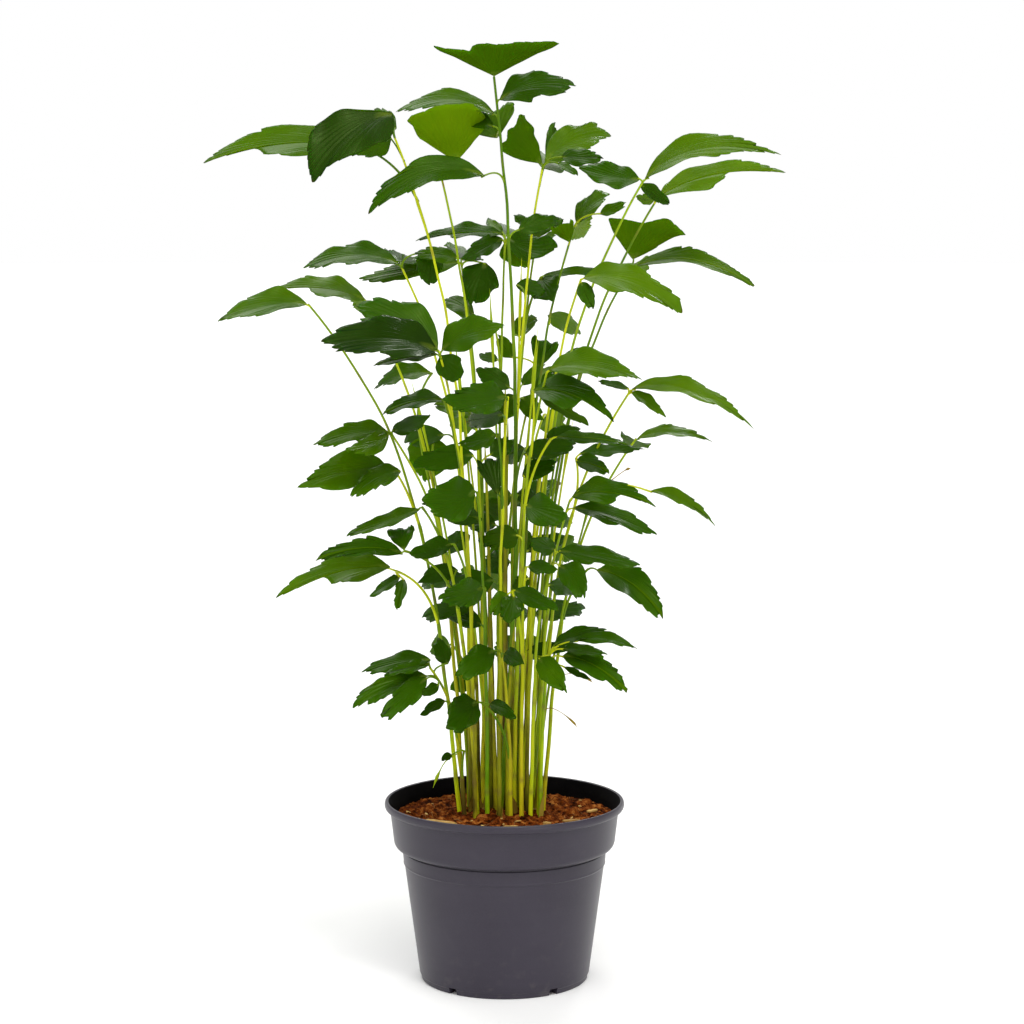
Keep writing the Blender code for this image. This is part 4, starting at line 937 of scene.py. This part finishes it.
def fine_stalk(shell, path, thick, thin, tone):
    """A leaf stalk with a small swelling where it carries the leaflet."""
    shares = np.linspace(0.0, 1.0, len(path))
    radii = thick + (thin - thick) * shares + 0.35 * np.exp(-((1.0 - shares) / 0.12) ** 2)
    ring = 0.25 * np.exp(-((1.0 - shares) / 0.1) ** 2)
    fine_tube(shell, path, radii, STEM_LOOK, 8, rib=ring, tone=tone, tip=0.6 + 0.4 * shares)


def middle_of_bend(path):
    """The point that steers a soft curve, from its start, its first step and its end."""
    t = 1.0 / (len(path) - 1)
    return (path[1] - path[0] * (1 - t) ** 2 - path[-1] * t ** 2) / (2 * t * (1 - t))


def sheath_scale(shell, one, draw):
    """A dry pointed scale that hugs the foot of a stem."""
    top = draw.uniform(9, 30)
    turn = draw.uniform(0, math.tau)
    rows = columns = 9
    outer, inner = [], []
    for row in range(rows):
        share = row / (rows - 1)
        centre = stem_point(one, share_of(one, STEM_START - 4 + top * share))
        spread = math.radians(115) * (1.0 - share ** 2.2) + 0.05
        reach = one.radius + 0.5 + 0.9 * share ** 2
        for column in range(columns):
            angle = turn + spread * (2.0 * column / (columns - 1) - 1.0)
            way = Vector((math.cos(angle), math.sin(angle), 0))
            outer.append(centre + way * (reach + 0.35))
            inner.append(centre + way * reach)
    count = rows * columns
    edge = [*range(0, count - columns, columns), *range(count - columns, count - 1),
            *range(count - 1, 0, -columns)]
    faces = grid_faces(rows, columns) + grid_faces(rows, columns, count, flip=True)
    shell.add(outer + inner, faces + rim_faces(edge, count), DRY_LOOK, tone=draw.random())


def leaf_tone(leaf, tone, draw):
    """How light a leaflet is: outer and upper ones are painted lighter and those inside the clump darker, as
    light and shade painted into the tone, with a random share on top.
    """
    if leaf.tip in LEAF_TONES:
        return LEAF_TONES[leaf.tip]
    # Painted light and shade: the tone grows with how far out and how high the leaflet's tip stands
    outward = min(math.hypot(leaf.end.x, leaf.end.y) / 260.0, 1.0)
    upward = min(max((leaf.end.z - 250.0) / 600.0, 0.0), 1.0)
    return min(max(0.34 * outward + 0.22 * upward + 0.15 * tone + 0.34 * draw.random(), 0.0), 1.0)


def fine_leafy_stem(one, looks):
    """One leafy stem: its stem, side fronds, leaf stalks and leaflets."""
    shell = Shell()
    draw = random.Random(SEED * 31 + len(one.name) * 7 + int(abs(one.place[0]) * 3 + one.place[1]))
    fine_stem(shell, one, draw)
    tone = draw.random()
    for path in (branch.path for branch in one.forks):
        start = stem_point(one, share_of(one, path[0].z))
        fine_stalk(shell, soft_curve(start, middle_of_bend(path), path[-1], 22), 1.5, STALK_RADIUS, tone)
    for leaf in one.hung:
        joint = leaf.joint
        if leaf.on_top:
            joint = stem_point(one, min(share_of(one, joint.z), 1.0))
        end = leaf.start + (leaf.end - leaf.start) * 0.03
        fine_stalk(shell, bend(joint, leaf.leaving, end, 10), 1.15, 0.7, tone)
        fine_leaf(shell, leaf, leaf_tone(leaf, tone, draw))
    for chance in (SCALE_SHARE, SCALE_SHARE / 2):
        if draw.random() < chance:
            sheath_scale(shell, one, draw)
    shell.piece("leafy_" + one.name, looks, "leaf", one.name)


def culm_path(root, lean, top, steps, curl, sway):
    """A slanting path that sways a little, from inside the medium to a culm's top."""
    points = [Vector((*root, CULM_FOOT))]
    for share in (step / steps for step in range(steps + 1)):
        swing = Vector((math.sin(share * sway + root[0]), math.cos(share * (sway - 1) + root[1])))
        away = Vector(lean) * share ** curl + swing * share
        points.append(Vector((root[0] + away.x, root[1] + away.y, SOIL_LEVEL + (top - SOIL_LEVEL) * share)))
    return points


def old_shade_culm(shell, root, lean, top, radius, draw):
    """A bare old culm or leaf stalk that ends in a dry tip; its dark brown tones are painted shade in the
    gaps between the stems.
    """
    points = culm_path(root, lean, top, 44, 2.2, 5)
    shares = np.linspace(0.0, 1.0, len(points))
    radii = radius * (1.0 - 0.45 * shares)
    radii[-4:] *= np.array((0.95, 0.8, 0.5, 0.12))
    rings = np.exp(-(((shares * 6.3 + draw.random()) % 1.0 - 0.5) / 0.06) ** 2)
    # Painted shade: the old culms take tones at the dark brown end of the stem colours
    fine_tube(shell, points, radii * (1.0 + 0.08 * rings), STEM_LOOK, 10, rib=rings, rim=1.0 - 0.45 * shares,
              tone=draw.uniform(0.80, 1.0), tip=shares)


def young_culm(shell, root, lean, top, radius, draw):
    """A slim green culm that ends in a closed, pointed leaf."""
    points = culm_path(root, lean, top, 48, 1.7, 4)
    shares = np.concatenate(((0.0,), np.linspace(0.0, 1.0, 49)))
    closed = np.clip((shares - 0.86) / 0.14, 0.0, 1.0)
    leaf = 1.0 + 0.9 * np.sin(math.pi * np.minimum(closed * 1.25, 1.0)) ** 1.5
    radii = radius * (1.0 - 0.35 * shares) * leaf * (1.0 - closed ** 3) + 0.08
    fine_tube(shell, points, radii, STEM_LOOK, 10, rim=np.clip(0.6 - 1.6 * shares, 0.0, 1.0),
              tone=draw.random(), tip=shares)


def fine_culms(looks):
    """The bare old culms, dark brown as painted shade, and the young ones between the leafy stems."""
    draw = random.Random(SEED + 61)
    for name, table, culm in (("old_culms", OLD_SHADE_CULMS, old_shade_culm), ("young_culms", YOUNG_CULMS, young_culm)):
        shell = Shell()
        for row in table:
            culm(shell, *row, draw)
        shell.piece(name, looks, "leaf")


def smooth_line(path, steps):
    """A curve through some points, with round bends."""
    points = []
    for index in range(len(path) - 1):
        before = path[max(index - 1, 0)]
        start, end = path[index], path[index + 1]
        after = path[min(index + 2, len(path) - 1)]
        for t in (step / steps for step in range(steps)):
            points.append(0.5 * (
                2 * start + (end - before) * t + (2 * before - 5 * start + 4 * end - after) * t * t
                + (3 * start - before - 3 * end + after) * t ** 3))
    return points + [path[-1]]


def fine_wisps(looks):
    """Thin withered threads that hang from the stems."""
    shell = Shell()
    for dry, radius, places in WISPS:
        start = nearest_stem(places[0])[2]
        path = [start] + [seen_from_front(*place, start.y - 4.0 - 2.0 * number)
                          for number, place in enumerate(places[1:])]
        curve = smooth_line(path, 8)
        share = np.linspace(0.0, 1.0, len(curve))
        radii = radius * (1.0 - 0.7 * share + 1.9 * np.exp(-((share - 0.72) / 0.11) ** 2))
        fine_tube(shell, curve, radii, DRY_LOOK if dry else STEM_LOOK, 6, tone=0.6)
    shell.piece("withered_threads", looks, "leaf")


def softened(profile):
    """A profile with each corner rounded by the amount that its point names."""
    points = []
    for index, (radius, height, soft) in enumerate(profile):
        here = Vector((radius, height))
        if soft == 0 or index in (0, len(profile) - 1):
            points.append(here)
            continue
        before = Vector(profile[index - 1][:2]) - here
        after = Vector(profile[index + 1][:2]) - here
        start = here + before.normalized() * min(soft, before.length * 0.48)
        end = here + after.normalized() * min(soft, after.length * 0.48)
        points += soft_curve(start, here, end, CORNER_STEPS)
    return points


def slot_cutters():
    """Blocks that cut the drainage slots."""
    group = bpy.data.collections.new("slots")
    bpy.context.scene.collection.children.link(group)
    for number in range(SLOT_COUNT):
        angle = SLOT_FIRST_ANGLE + math.tau * number / SLOT_COUNT
        out = Vector((math.cos(angle), math.sin(angle), 0.0))
        beside = Vector((-out.y, out.x, 0.0)) * (SLOT_WIDTH / 2)
        corners = [out * radius + beside * side + Vector((0, 0, height)) for height in (-1.0, SLOT_HEIGHT)
                   for radius, side in ((SLOT_FROM, -1), (SLOT_TO, -1), (SLOT_TO, 1), (SLOT_FROM, 1))]
        mesh = bpy.data.meshes.new("slot")
        mesh.from_pydata([corner * MM for corner in corners], [], [
            (3, 2, 1, 0), (4, 5, 6, 7), (0, 1, 5, 4), (1, 2, 6, 5), (2, 3, 7, 6), (3, 0, 4, 7)])
        group.objects.link(bpy.data.objects.new("slot", mesh))
    return group


def fine_pot(looks):
    """The pot, turned from its section, with its drainage slots cut out."""
    profile = softened(POT_SECTION)
    points = [(radius * math.cos(turn), radius * math.sin(turn), height)
              for radius, height in profile for turn in turns(POT_SEGMENTS)]
    lip = max(range(len(profile)), key=lambda index: profile[index].y)
    # The groove's points carry a painted shade that darkens the pot's colour there
    groove = [GROOVE_PAINTED_SHADE if GROOVE_HEIGHTS[0] < height < GROOVE_HEIGHTS[1]
              and GROOVE_RADII[0] < radius < GROOVE_RADII[1] else 0.0 for radius, height in profile]
    # Faces inside past the lip take the inner look, whose near-black colour is painted shade
    inside = [int(row > lip + INSIDE_ROWS_AFTER_LIP) for row in range(len(profile) - 1)
              for _ in range(POT_SEGMENTS)]
    shell = Shell()
    shell.add(points, grid_faces(len(profile), POT_SEGMENTS, around=True), inside,
              tip=np.repeat(groove, POT_SEGMENTS))
    pot = shell.piece("nursery_pot", looks, "pot_plastic", "pot")
    bm = bmesh.new()
    bm.from_mesh(pot.data)
    bmesh.ops.remove_doubles(bm, verts=bm.verts, dist=1e-6)
    bm.to_mesh(pot.data)
    bm.free()
    cutters = slot_cutters()
    cut = pot.modifiers.new("cut", "BOOLEAN")
    cut.operation, cut.solver = "DIFFERENCE", "EXACT"
    cut.operand_type, cut.collection = "COLLECTION", cutters
    bpy.context.view_layer.update()
    mesh = bpy.data.meshes.new_from_object(pot.evaluated_get(bpy.context.evaluated_depsgraph_get()))
    pot.modifiers.remove(cut)
    pot.data = mesh
    for cutter in list(cutters.objects):
        bpy.data.objects.remove(cutter, do_unlink=True)
    bpy.data.collections.remove(cutters)
    mesh.shade_smooth()
    mesh.set_sharp_from_angle(angle=POT_SHARP_EDGE)


def soil_height(x, y):
    """The uneven top of the medium's solid."""
    lump = 1.3 * math.sin(x * 0.11 + 0.7) * math.cos(y * 0.13 - 0.4) + 0.9 * math.sin(x * 0.23 - y * 0.19)
    return SOIL_BODY_LEVEL + lump + SOIL_MOUND * math.exp(-(x * x + y * y) / SOIL_MOUND_SPREAD)


def soil_top(x, y):
    """Height of the medium's lumpy top."""
    radius = math.hypot(x, y)
    edge = min(max((radius - 92.0) / 18.0, 0.0), 1.0)
    level = soil_height(x, y) * (1.0 - edge) + (SOIL_LEVEL - SOIL_EDGE_DROP + 0.6) * edge
    place = Vector((x, y, 0.0))
    clod = noise.voronoi(place * 0.085 + Vector((3.1, 0, 0)))[0]
    small = noise.voronoi(place * 0.24 + Vector((0, 7.7, 0)))[0]
    lumps = 7.0 * max(0.0, 0.55 - clod[0]) + 1.5 * max(0.0, 0.5 - small[0])
    rough = 2.2 * noise.noise(place * 0.038) + 2.6 * noise.fractal(place * 0.09, 1.0, 2.0, 4)
    rough += 0.9 * noise.fractal(place * 0.45, 1.0, 2.1, 3)
    near = max(math.exp(-((x - chip_x) ** 2 + (y - chip_y) ** 2) / (0.25 * length ** 2))
               for chip_x, chip_y, _, length, _ in CHIPS)
    fade = (1.0 - 0.45 * edge) * (1.0 - 0.75 * near)
    return level + (lumps + rough) * fade + 3.0 * near + CLUMP_RISE * math.exp(-(radius / 48.0) ** 4)


def random_spot(draw, reach):
    radius = reach * math.sqrt(draw.random())
    turn = draw.uniform(0, math.tau)
    return radius * math.cos(turn), radius * math.sin(turn)


def soil_body(shell):
    """The medium's lumpy top and its side, down to the pot's floor."""
    points = []
    for radius in (0.5, *np.linspace(2.0, SOIL_RIM, SOIL_TOP_RINGS)):
        for turn in turns(SOIL_AROUND):
            x, y = radius * math.cos(turn), radius * math.sin(turn)
            points.append((x, y, soil_top(x, y)))
    for wall, height in SOIL_SIDE:
        radius = wall - 2 * GAP
        points += [(radius * math.cos(turn), radius * math.sin(turn), height + GAP)
                   for turn in turns(SOIL_AROUND)]
    shell.add(points, closed_faces(len(points) // SOIL_AROUND, SOIL_AROUND, flip=True), 0, tone=0.5)


def soil_crumbs(shell, draw):
    ball = bmesh.new()
    bmesh.ops.create_icosphere(ball, subdivisions=1, radius=1.0)
    corners = np.array([vertex.co for vertex in ball.verts])
    faces = [tuple(vertex.index for vertex in face.verts) for face in ball.faces]
    ball.free()
    for _ in range(CRUMBS):
        x, y = random_spot(draw, SOIL_RIM - 3)
        size = draw.uniform(0.5, 1.4) * (1.7 if draw.random() < 0.12 else 1.0)
        stretch = np.array([draw.uniform(0.7, 1.5), draw.uniform(0.7, 1.3), draw.uniform(0.5, 0.9)])
        wobble = 1.0 + 0.45 * np.array([draw.random() - 0.5 for _ in corners])
        shape = corners * wobble[:, None] * stretch * size
        shell.add(shape + np.array((x, y, soil_top(x, y) + 0.25 * size)), faces, 0, tone=draw.random())


def soil_fibre(shell, draw):
    x, y = random_spot(draw, SOIL_RIM - 6)
    heading = draw.uniform(0, math.tau)
    length = draw.uniform(5, 19)
    bendiness = draw.uniform(-0.12, 0.12)
    path = []
    for step in range(9):
        path.append(Vector((x, y, soil_top(x, y) + 0.35 + 0.5 * math.sin(step * 1.1 + x))))
        heading += bendiness + draw.uniform(-0.12, 0.12)
        x += math.cos(heading) * length / 8
        y += math.sin(heading) * length / 8
        if math.hypot(x, y) > SOIL_RIM - 2:
            break
    if len(path) > 3:
        radii = np.linspace(draw.uniform(0.16, 0.42), 0.1, len(path))
        fine_tube(shell, path, radii, 2 if draw.random() < 0.4 else 0, 5, tone=draw.random())


def sliver(shell, chip, height, thick, look, draw):
    """A sliver of bark with worn edges and torn ends."""
    x, y, angle, length, width = chip
    along = Vector((math.cos(math.radians(angle)), math.sin(math.radians(angle)), 0.0))
    beside = Vector((-along.y, along.x, 0.0))
    rows, sides = 11, 10
    points = []
    bow = draw.uniform(-0.06, 0.06) * length
    for share in (row / (rows - 1) for row in range(rows)):
        breadth = math.sin(math.pi * (0.06 + 0.88 * share)) ** 0.45 * (0.85 + 0.15 * math.sin(share * 9 + x))
        centre = Vector((x, y, height)) + along * (share - 0.5) * length
        centre += beside * bow * math.sin(math.pi * share)
        half_height = thick / 2 * (0.6 + 0.4 * breadth)
        for turn in turns(sides):
            c, s = math.cos(turn), math.sin(turn)
            flat = math.copysign(abs(c) ** 0.5, c) * width / 2 * breadth * draw.uniform(0.86, 1.05)
            tall = math.copysign(abs(s) ** 0.6, s) * half_height * draw.uniform(0.8, 1.1)
            points.append(centre + beside * flat + Vector((0, 0, tall)) + along * draw.uniform(-0.3, 0.3))
    shell.add(points, closed_faces(rows, sides), look, tone=draw.random())


def fine_soil(looks):
    """The medium with its crumbs, fibres and splinters."""
    shell = Shell()
    draw = random.Random(SEED + 90)
    soil_body(shell)
    soil_crumbs(shell, draw)
    for _ in range(FIBRES):
        soil_fibre(shell, draw)
    for _ in range(SPLINTERS):
        x, y = random_spot(draw, SOIL_RIM - 8)
        spot = (x, y, draw.uniform(0, 180), draw.uniform(3, 10), draw.uniform(1.5, 4.2))
        sliver(shell, spot, soil_top(x, y) + 0.6, draw.uniform(1.0, 1.8), 1, draw)
    shell.piece("coir_medium", looks, "coir", "soil")


def fine_chips(bark):
    for number, chip in enumerate(CHIPS):
        x, y = chip[:2]
        height = max(soil_height(x, y) - CHIP_SINK + CHIP_THICKNESS / 2, soil_top(x, y) + 1.3)
        shell = Shell()
        sliver(shell, chip, height, CHIP_THICKNESS, 0, random.Random(SEED + 400 + number))
        shell.piece("bark_chip_%d" % (number + 1), [bark], "bark", "chip_%d" % (number + 1))


class Look:
    """A material whose colour, roughness and relief come from nodes."""

    def __init__(self, name, **sockets):
        self.material = bpy.data.materials.new(name)
        self.material.use_nodes = True
        self.tree = self.material.node_tree
        self.shader = self.tree.nodes["Principled BSDF"]
        for socket, value in sockets.items():
            self.shader.inputs[socket.replace("_", " ")].default_value = value
        self.place = self.node("TexCoord").outputs["Object"]

    def node(self, kind, inputs=(), **settings):
        made = self.tree.nodes.new("ShaderNode" + kind)
        for key, value in settings.items():
            setattr(made, key, value)
        for key, value in dict(inputs).items():
            self.feed(made.inputs[key], value)
        return made

    def feed(self, socket, value):
        if isinstance(value, bpy.types.NodeSocket):
            self.tree.links.new(value, socket)
        else:
            socket.default_value = value

    def value(self, name):
        return self.node("Attribute", attribute_name=name).outputs["Fac"]

    def noise(self, scale, detail=4.0, stretch=(1.0, 1.0, 1.0)):
        place = self.node("Mapping", {"Vector": self.place, "Scale": stretch}).outputs["Vector"]
        return self.node("TexNoise", {"Vector": place, "Scale": scale, "Detail": detail}).outputs["Fac"]

    def math(self, operation, one, two=0.0):
        return self.node("Math", {0: one, 1: two}, operation=operation).outputs["Value"]

    def add(self, one, two):
        return self.math("ADD", one, two)

    def times(self, one, two):
        return self.math("MULTIPLY", one, two)

    def sum(self, one, one_share, two, two_share):
        return self.add(self.times(one, one_share), self.times(two, two_share))

    def ramp(self, factor, *stops):
        made = self.node("ValToRGB", {"Fac": factor})
        elements = made.color_ramp.elements
        while len(elements) < len(stops):
            elements.new(0.5)
        for element, (position, colour) in zip(elements, stops):
            element.position = position
            element.color = (*(colour if hasattr(colour, "__len__") else (colour,) * 3), 1.0)
        return made.outputs["Color"]

    def mix(self, factor, one, two):
        made = self.node("Mix", data_type="RGBA")
        self.feed(made.inputs["Factor"], factor)
        self.feed(made.inputs["A"], one)
        self.feed(made.inputs["B"], (*two, 1.0))
        return made.outputs["Result"]

    def finish(self, colour, roughness, height=None, distance=0.0002, strength=1.0):
        self.feed(self.shader.inputs["Base Color"], colour)
        self.feed(self.shader.inputs["Roughness"], roughness)
        if height is not None:
            bump = self.node("Bump", {"Height": height, "Distance": distance, "Strength": strength})
            self.feed(self.shader.inputs["Normal"], bump.outputs["Normal"])
        return self.material


def leaf_look(name, dark, middle, bright, dry, roughness, shine, glow):
    """Leaf skin: a tone for each leaflet, soft blotches, paler ribs and a dry brown tip."""
    look = Look(name, Specular_IOR_Level=shine, Specular_Tint=(0.70, 1.0, 0.30, 1.0), Subsurface_Weight=glow,
                Subsurface_Scale=0.002, Subsurface_Radius=(0.35, 1.0, 0.12))
    blotch = look.noise(28.0, 5.0)
    fine = look.noise(260.0, 3.0)
    # The tone value carries each leaflet's painted light and shade as well as its own random tone
    tone = look.sum(look.value("tone"), 0.75, blotch, 0.25)
    colour = look.ramp(tone, (0.16, dark), (0.56, middle), (0.88, bright))
    vein = look.math("SINE", look.times(look.value("rib"), math.tau / VEIN_SPACING))
    vein_share = look.times(look.times(look.add(vein, 1.0), 0.5), 0.09)
    colour = look.mix(vein_share, colour, [value * 1.5 for value in bright])
    paler = look.ramp(look.value("rim"), (0.0, 0.5), (0.18, 0.0), (1.0, 0.0))
    colour = look.mix(paler, colour, (0.22, 0.30, 0.03))
    tip = look.times(look.ramp(look.value("tip"), (0.975, 0.0), (1.0, 1.0)), 0.7)
    colour = look.mix(tip, colour, dry)
    edge = look.ramp(look.value("rim"), (0.975, 0.0), (1.0, 0.2))
    edge = look.times(edge, look.ramp(look.noise(40.0, 2.0), (0.46, 0.0), (0.66, 1.0)))
    colour = look.mix(edge, colour, dry)
    rough = look.add(roughness - 0.08, look.times(blotch, 0.16))
    height = look.sum(vein, 0.5, fine, 0.3)
    return look.finish(colour, rough, height, 0.00005, 0.3)


def stem_look():
    """Stem skin: yellow-green above, ochre to brown and streaked below, with brown node rings."""
    look = Look("stem_skin", Specular_IOR_Level=0.12, Subsurface_Weight=0.08, Subsurface_Scale=0.001,
                Subsurface_Radius=(0.5, 1.0, 0.2))
    streak = look.noise(420.0, 3.0, (1.0, 1.0, 0.04))
    mottle = look.noise(45.0, 4.0, (1.0, 1.0, 0.3))
    tone = look.sum(look.value("tone"), 0.55, mottle, 0.45)
    green = look.ramp(tone, (0.24, (0.070, 0.16, 0.001)), (0.48, (0.24, 0.36, 0.003)),
                      (0.74, (0.50, 0.56, 0.005)))
    ochre = look.ramp(tone, (0.24, (0.17, 0.36, 0.002)), (0.44, (0.74, 0.84, 0.008)),
                      (0.58, (0.62, 0.50, 0.008)), (0.72, (0.055, 0.024, 0.005)))
    aged = look.times(look.value("rim"), look.ramp(mottle, (0.30, 0.45), (0.62, 1.0)))
    made = look.node("Mix", {"Factor": aged}, data_type="RGBA")
    look.feed(made.inputs["A"], green)
    look.feed(made.inputs["B"], ochre)
    streaks = look.times(look.ramp(streak, (0.50, 0.0), (0.75, 1.0)), 0.16)
    colour = look.mix(streaks, made.outputs["Result"], (0.20, 0.13, 0.02))
    colour = look.mix(look.times(look.value("rib"), 0.55), colour, (0.17, 0.10, 0.03))
    return look.finish(colour, look.add(0.38, look.times(mottle, 0.2)), streak, 0.00015, 0.5)


def dry_look():
    """Dry sheaths and threads."""
    look = Look("dry_sheath", Specular_IOR_Level=0.08)
    streak = look.noise(600.0, 4.0, (1.0, 1.0, 0.05))
    tone = look.sum(look.value("tone"), 0.4, streak, 0.6)
    colour = look.ramp(tone, (0.2, (0.12, 0.060, 0.008)), (0.55, (0.30, 0.20, 0.02)),
                       (0.85, (0.50, 0.42, 0.07)))
    return look.finish(colour, 0.75, streak, 0.0003, 0.8)


def pot_look():
    """Moulded charcoal plastic with a fine grain, faint flow bands, specks, dust towards the bottom, and
    painted shade in the groove under the collar.
    """
    look = Look("charcoal_plastic", Specular_IOR_Level=0.28)
    grain = look.noise(1500.0, 2.0)
    cloud = look.noise(14.0, 4.0)
    bands = look.noise(24.0, 3.0, (0.15, 0.15, 6.0))
    dust = look.ramp(look.noise(85.0, 8.0), (0.55, 0.0), (0.80, 1.0))
    tone = look.sum(cloud, 0.8, bands, 0.2)
    colour = look.ramp(tone, (0.3, (0.026, 0.0215, 0.033)), (0.7, (0.037, 0.0315, 0.046)))
    speck = look.ramp(look.noise(900.0, 3.0), (0.35, 0.0), (0.65, 1.0))
    colour = look.mix(look.times(speck, 0.35), colour, (0.042, 0.037, 0.052))
    # Painted shade: the groove under the collar is mixed towards near-black
    colour = look.mix(look.value("tip"), colour, (0.002, 0.0018, 0.002))
    height = look.node("SeparateXYZ", {"Vector": look.place}).outputs["Z"]
    low = look.ramp(look.times(height, 12.0), (0.0, 0.45), (0.35, 0.12), (1.0, 0.05))
    colour = look.mix(look.times(dust, low), colour, (0.11, 0.095, 0.09))
    rough = look.add(0.29, look.times(cloud, 0.16))
    return look.finish(colour, rough, look.add(grain, look.times(bands, 0.3)), 0.00005, 0.4)


def pot_inside_shade_look():
    """The pot's dull inner face, painted near-black as the shade inside the pot, with a faint mottle."""
    look = Look("charcoal_inside", Specular_IOR_Level=0.04)
    shade_mottle = look.noise(60.0, 5.0)
    # Painted shade: near-black colours that stand in for the shade inside the pot
    colour = look.ramp(shade_mottle, (0.35, (0.0022, 0.0020, 0.0022)), (0.70, (0.0060, 0.0052, 0.0058)))
    return look.finish(colour, look.add(0.6, look.times(shade_mottle, 0.3)), look.noise(1200.0, 2.0), 0.00005, 0.4)


def coir_look():
    """Brown coir and peat."""
    look = Look("coir", Specular_IOR_Level=0.05)
    coarse = look.ramp(look.noise(150.0, 8.0), (0.30, 0.1), (0.70, 1.0))
    fine = look.noise(900.0, 6.0)
    tone = look.add(look.times(look.value("tone"), 0.25), look.sum(coarse, 0.5, fine, 0.3))
    colour = look.ramp(tone, (0.30, (0.006, 0.0010, 0.0002)), (0.46, (0.065, 0.0120, 0.0012)),
                       (0.60, (0.20, 0.043, 0.005)), (0.78, (0.50, 0.18, 0.035)))
    return look.finish(colour, 0.95, look.add(coarse, fine), 0.0012, 1.0)


def wood_look(name, dark, pale):
    """Bark or dead roots, with a grain along them."""
    look = Look(name, Specular_IOR_Level=0.25)
    grain = look.noise(300.0, 5.0, (0.25, 1.0, 1.0))
    tone = look.sum(look.value("tone"), 0.35, grain, 0.65)
    return look.finish(look.ramp(tone, (0.25, dark), (0.75, pale)), 0.8, grain, 0.0006, 0.9)


def make_camera():
    camera = linked("camera", bpy.data.cameras.new("camera"))
    camera.location = [value * MM for value in SIGHT]
    camera.rotation_euler = (math.radians(90) - SIGHT_DIP, 0.0, 0.0)
    camera.data.sensor_width = SENSOR
    camera.data.lens = SENSOR * SIGHT_REACH / PHOTO_SIZE
    bpy.context.scene.camera = camera


def make_light(name, heading, height, strength, spread, colour):
    """A soft far light from a heading (0 is the front, positive to the right) and a height, in degrees."""
    lamp = bpy.data.lights.new(name, "SUN")
    lamp.energy, lamp.angle, lamp.color = strength, math.radians(spread), colour
    light = linked(name, lamp)
    light.rotation_euler = (math.radians(90 - height), 0.0, math.radians(heading))
    light.location = (0.0, 0.0, 3.0)


def make_studio():
    """A plain pale floor, a sky that is lighter at the horizon, and the lights."""
    mesh = bpy.data.meshes.new("floor")
    corners = [(FLOOR_RADIUS * math.cos(turn), FLOOR_RADIUS * math.sin(turn), -0.0002) for turn in turns(96)]
    mesh.from_pydata(corners, [], [tuple(range(96))])
    floor = linked("floor", mesh)
    look = Look("floor_paper")
    paper = look.ramp(look.noise(3.0), (0.0, FLOOR_TONE - 0.01), (1.0, FLOOR_TONE))
    mesh.materials.append(look.finish(paper, 0.9))
    world = bpy.data.worlds.new("studio")
    world.use_nodes = True
    tree = world.node_tree
    height = tree.nodes.new("ShaderNodeSeparateXYZ")
    tree.links.new(tree.nodes.new("ShaderNodeTexCoord").outputs["Generated"], height.inputs["Vector"])
    sky = tree.nodes.new("ShaderNodeMapRange")
    sky.interpolation_type = "SMOOTHSTEP"
    for socket, value in zip(("From Min", "From Max", "To Min", "To Max"), (*SKY_HEIGHTS, *SKY_LIGHTS)):
        sky.inputs[socket].default_value = value
    tree.links.new(height.outputs["Z"], sky.inputs["Value"])
    tree.links.new(sky.outputs["Result"], tree.nodes["Background"].inputs["Strength"])
    tree.nodes["Background"].inputs["Color"].default_value = (1.0, 1.0, 1.0, 1.0)
    bpy.context.scene.world = world
    bpy.context.scene.view_settings.view_transform = "Standard"
    for light in LIGHTS:
        make_light(*light)


def main():
    make_camera()
    make_studio()
    looks = [
        leaf_look("leaf_top", (0.0024, 0.0150, 0.0001), (0.0200, 0.0660, 0.0002), (0.0950, 0.1850, 0.0004),
                  (0.07, 0.035, 0.008), 0.25, 0.10, 0.08),
        leaf_look("leaf_under", (0.014, 0.048, 0.0003), (0.045, 0.105, 0.0005), (0.11, 0.20, 0.001),
                  (0.09, 0.05, 0.012), 0.55, 0.015, 0.14),
        stem_look(), dry_look(),
    ]
    bark = wood_look("bark", (0.26, 0.13, 0.030), (0.74, 0.47, 0.14))
    fibre = wood_look("root", (0.14, 0.060, 0.016), (0.42, 0.23, 0.075))
    lay_out()
    add_sprigs()
    for one in STEMS:
        fine_leafy_stem(one, looks)
    fine_culms(looks)
    fine_wisps(looks)
    fine_pot([pot_look(), pot_inside_shade_look()])
    fine_soil([coir_look(), bark, fibre])
    fine_chips(bark)


main()
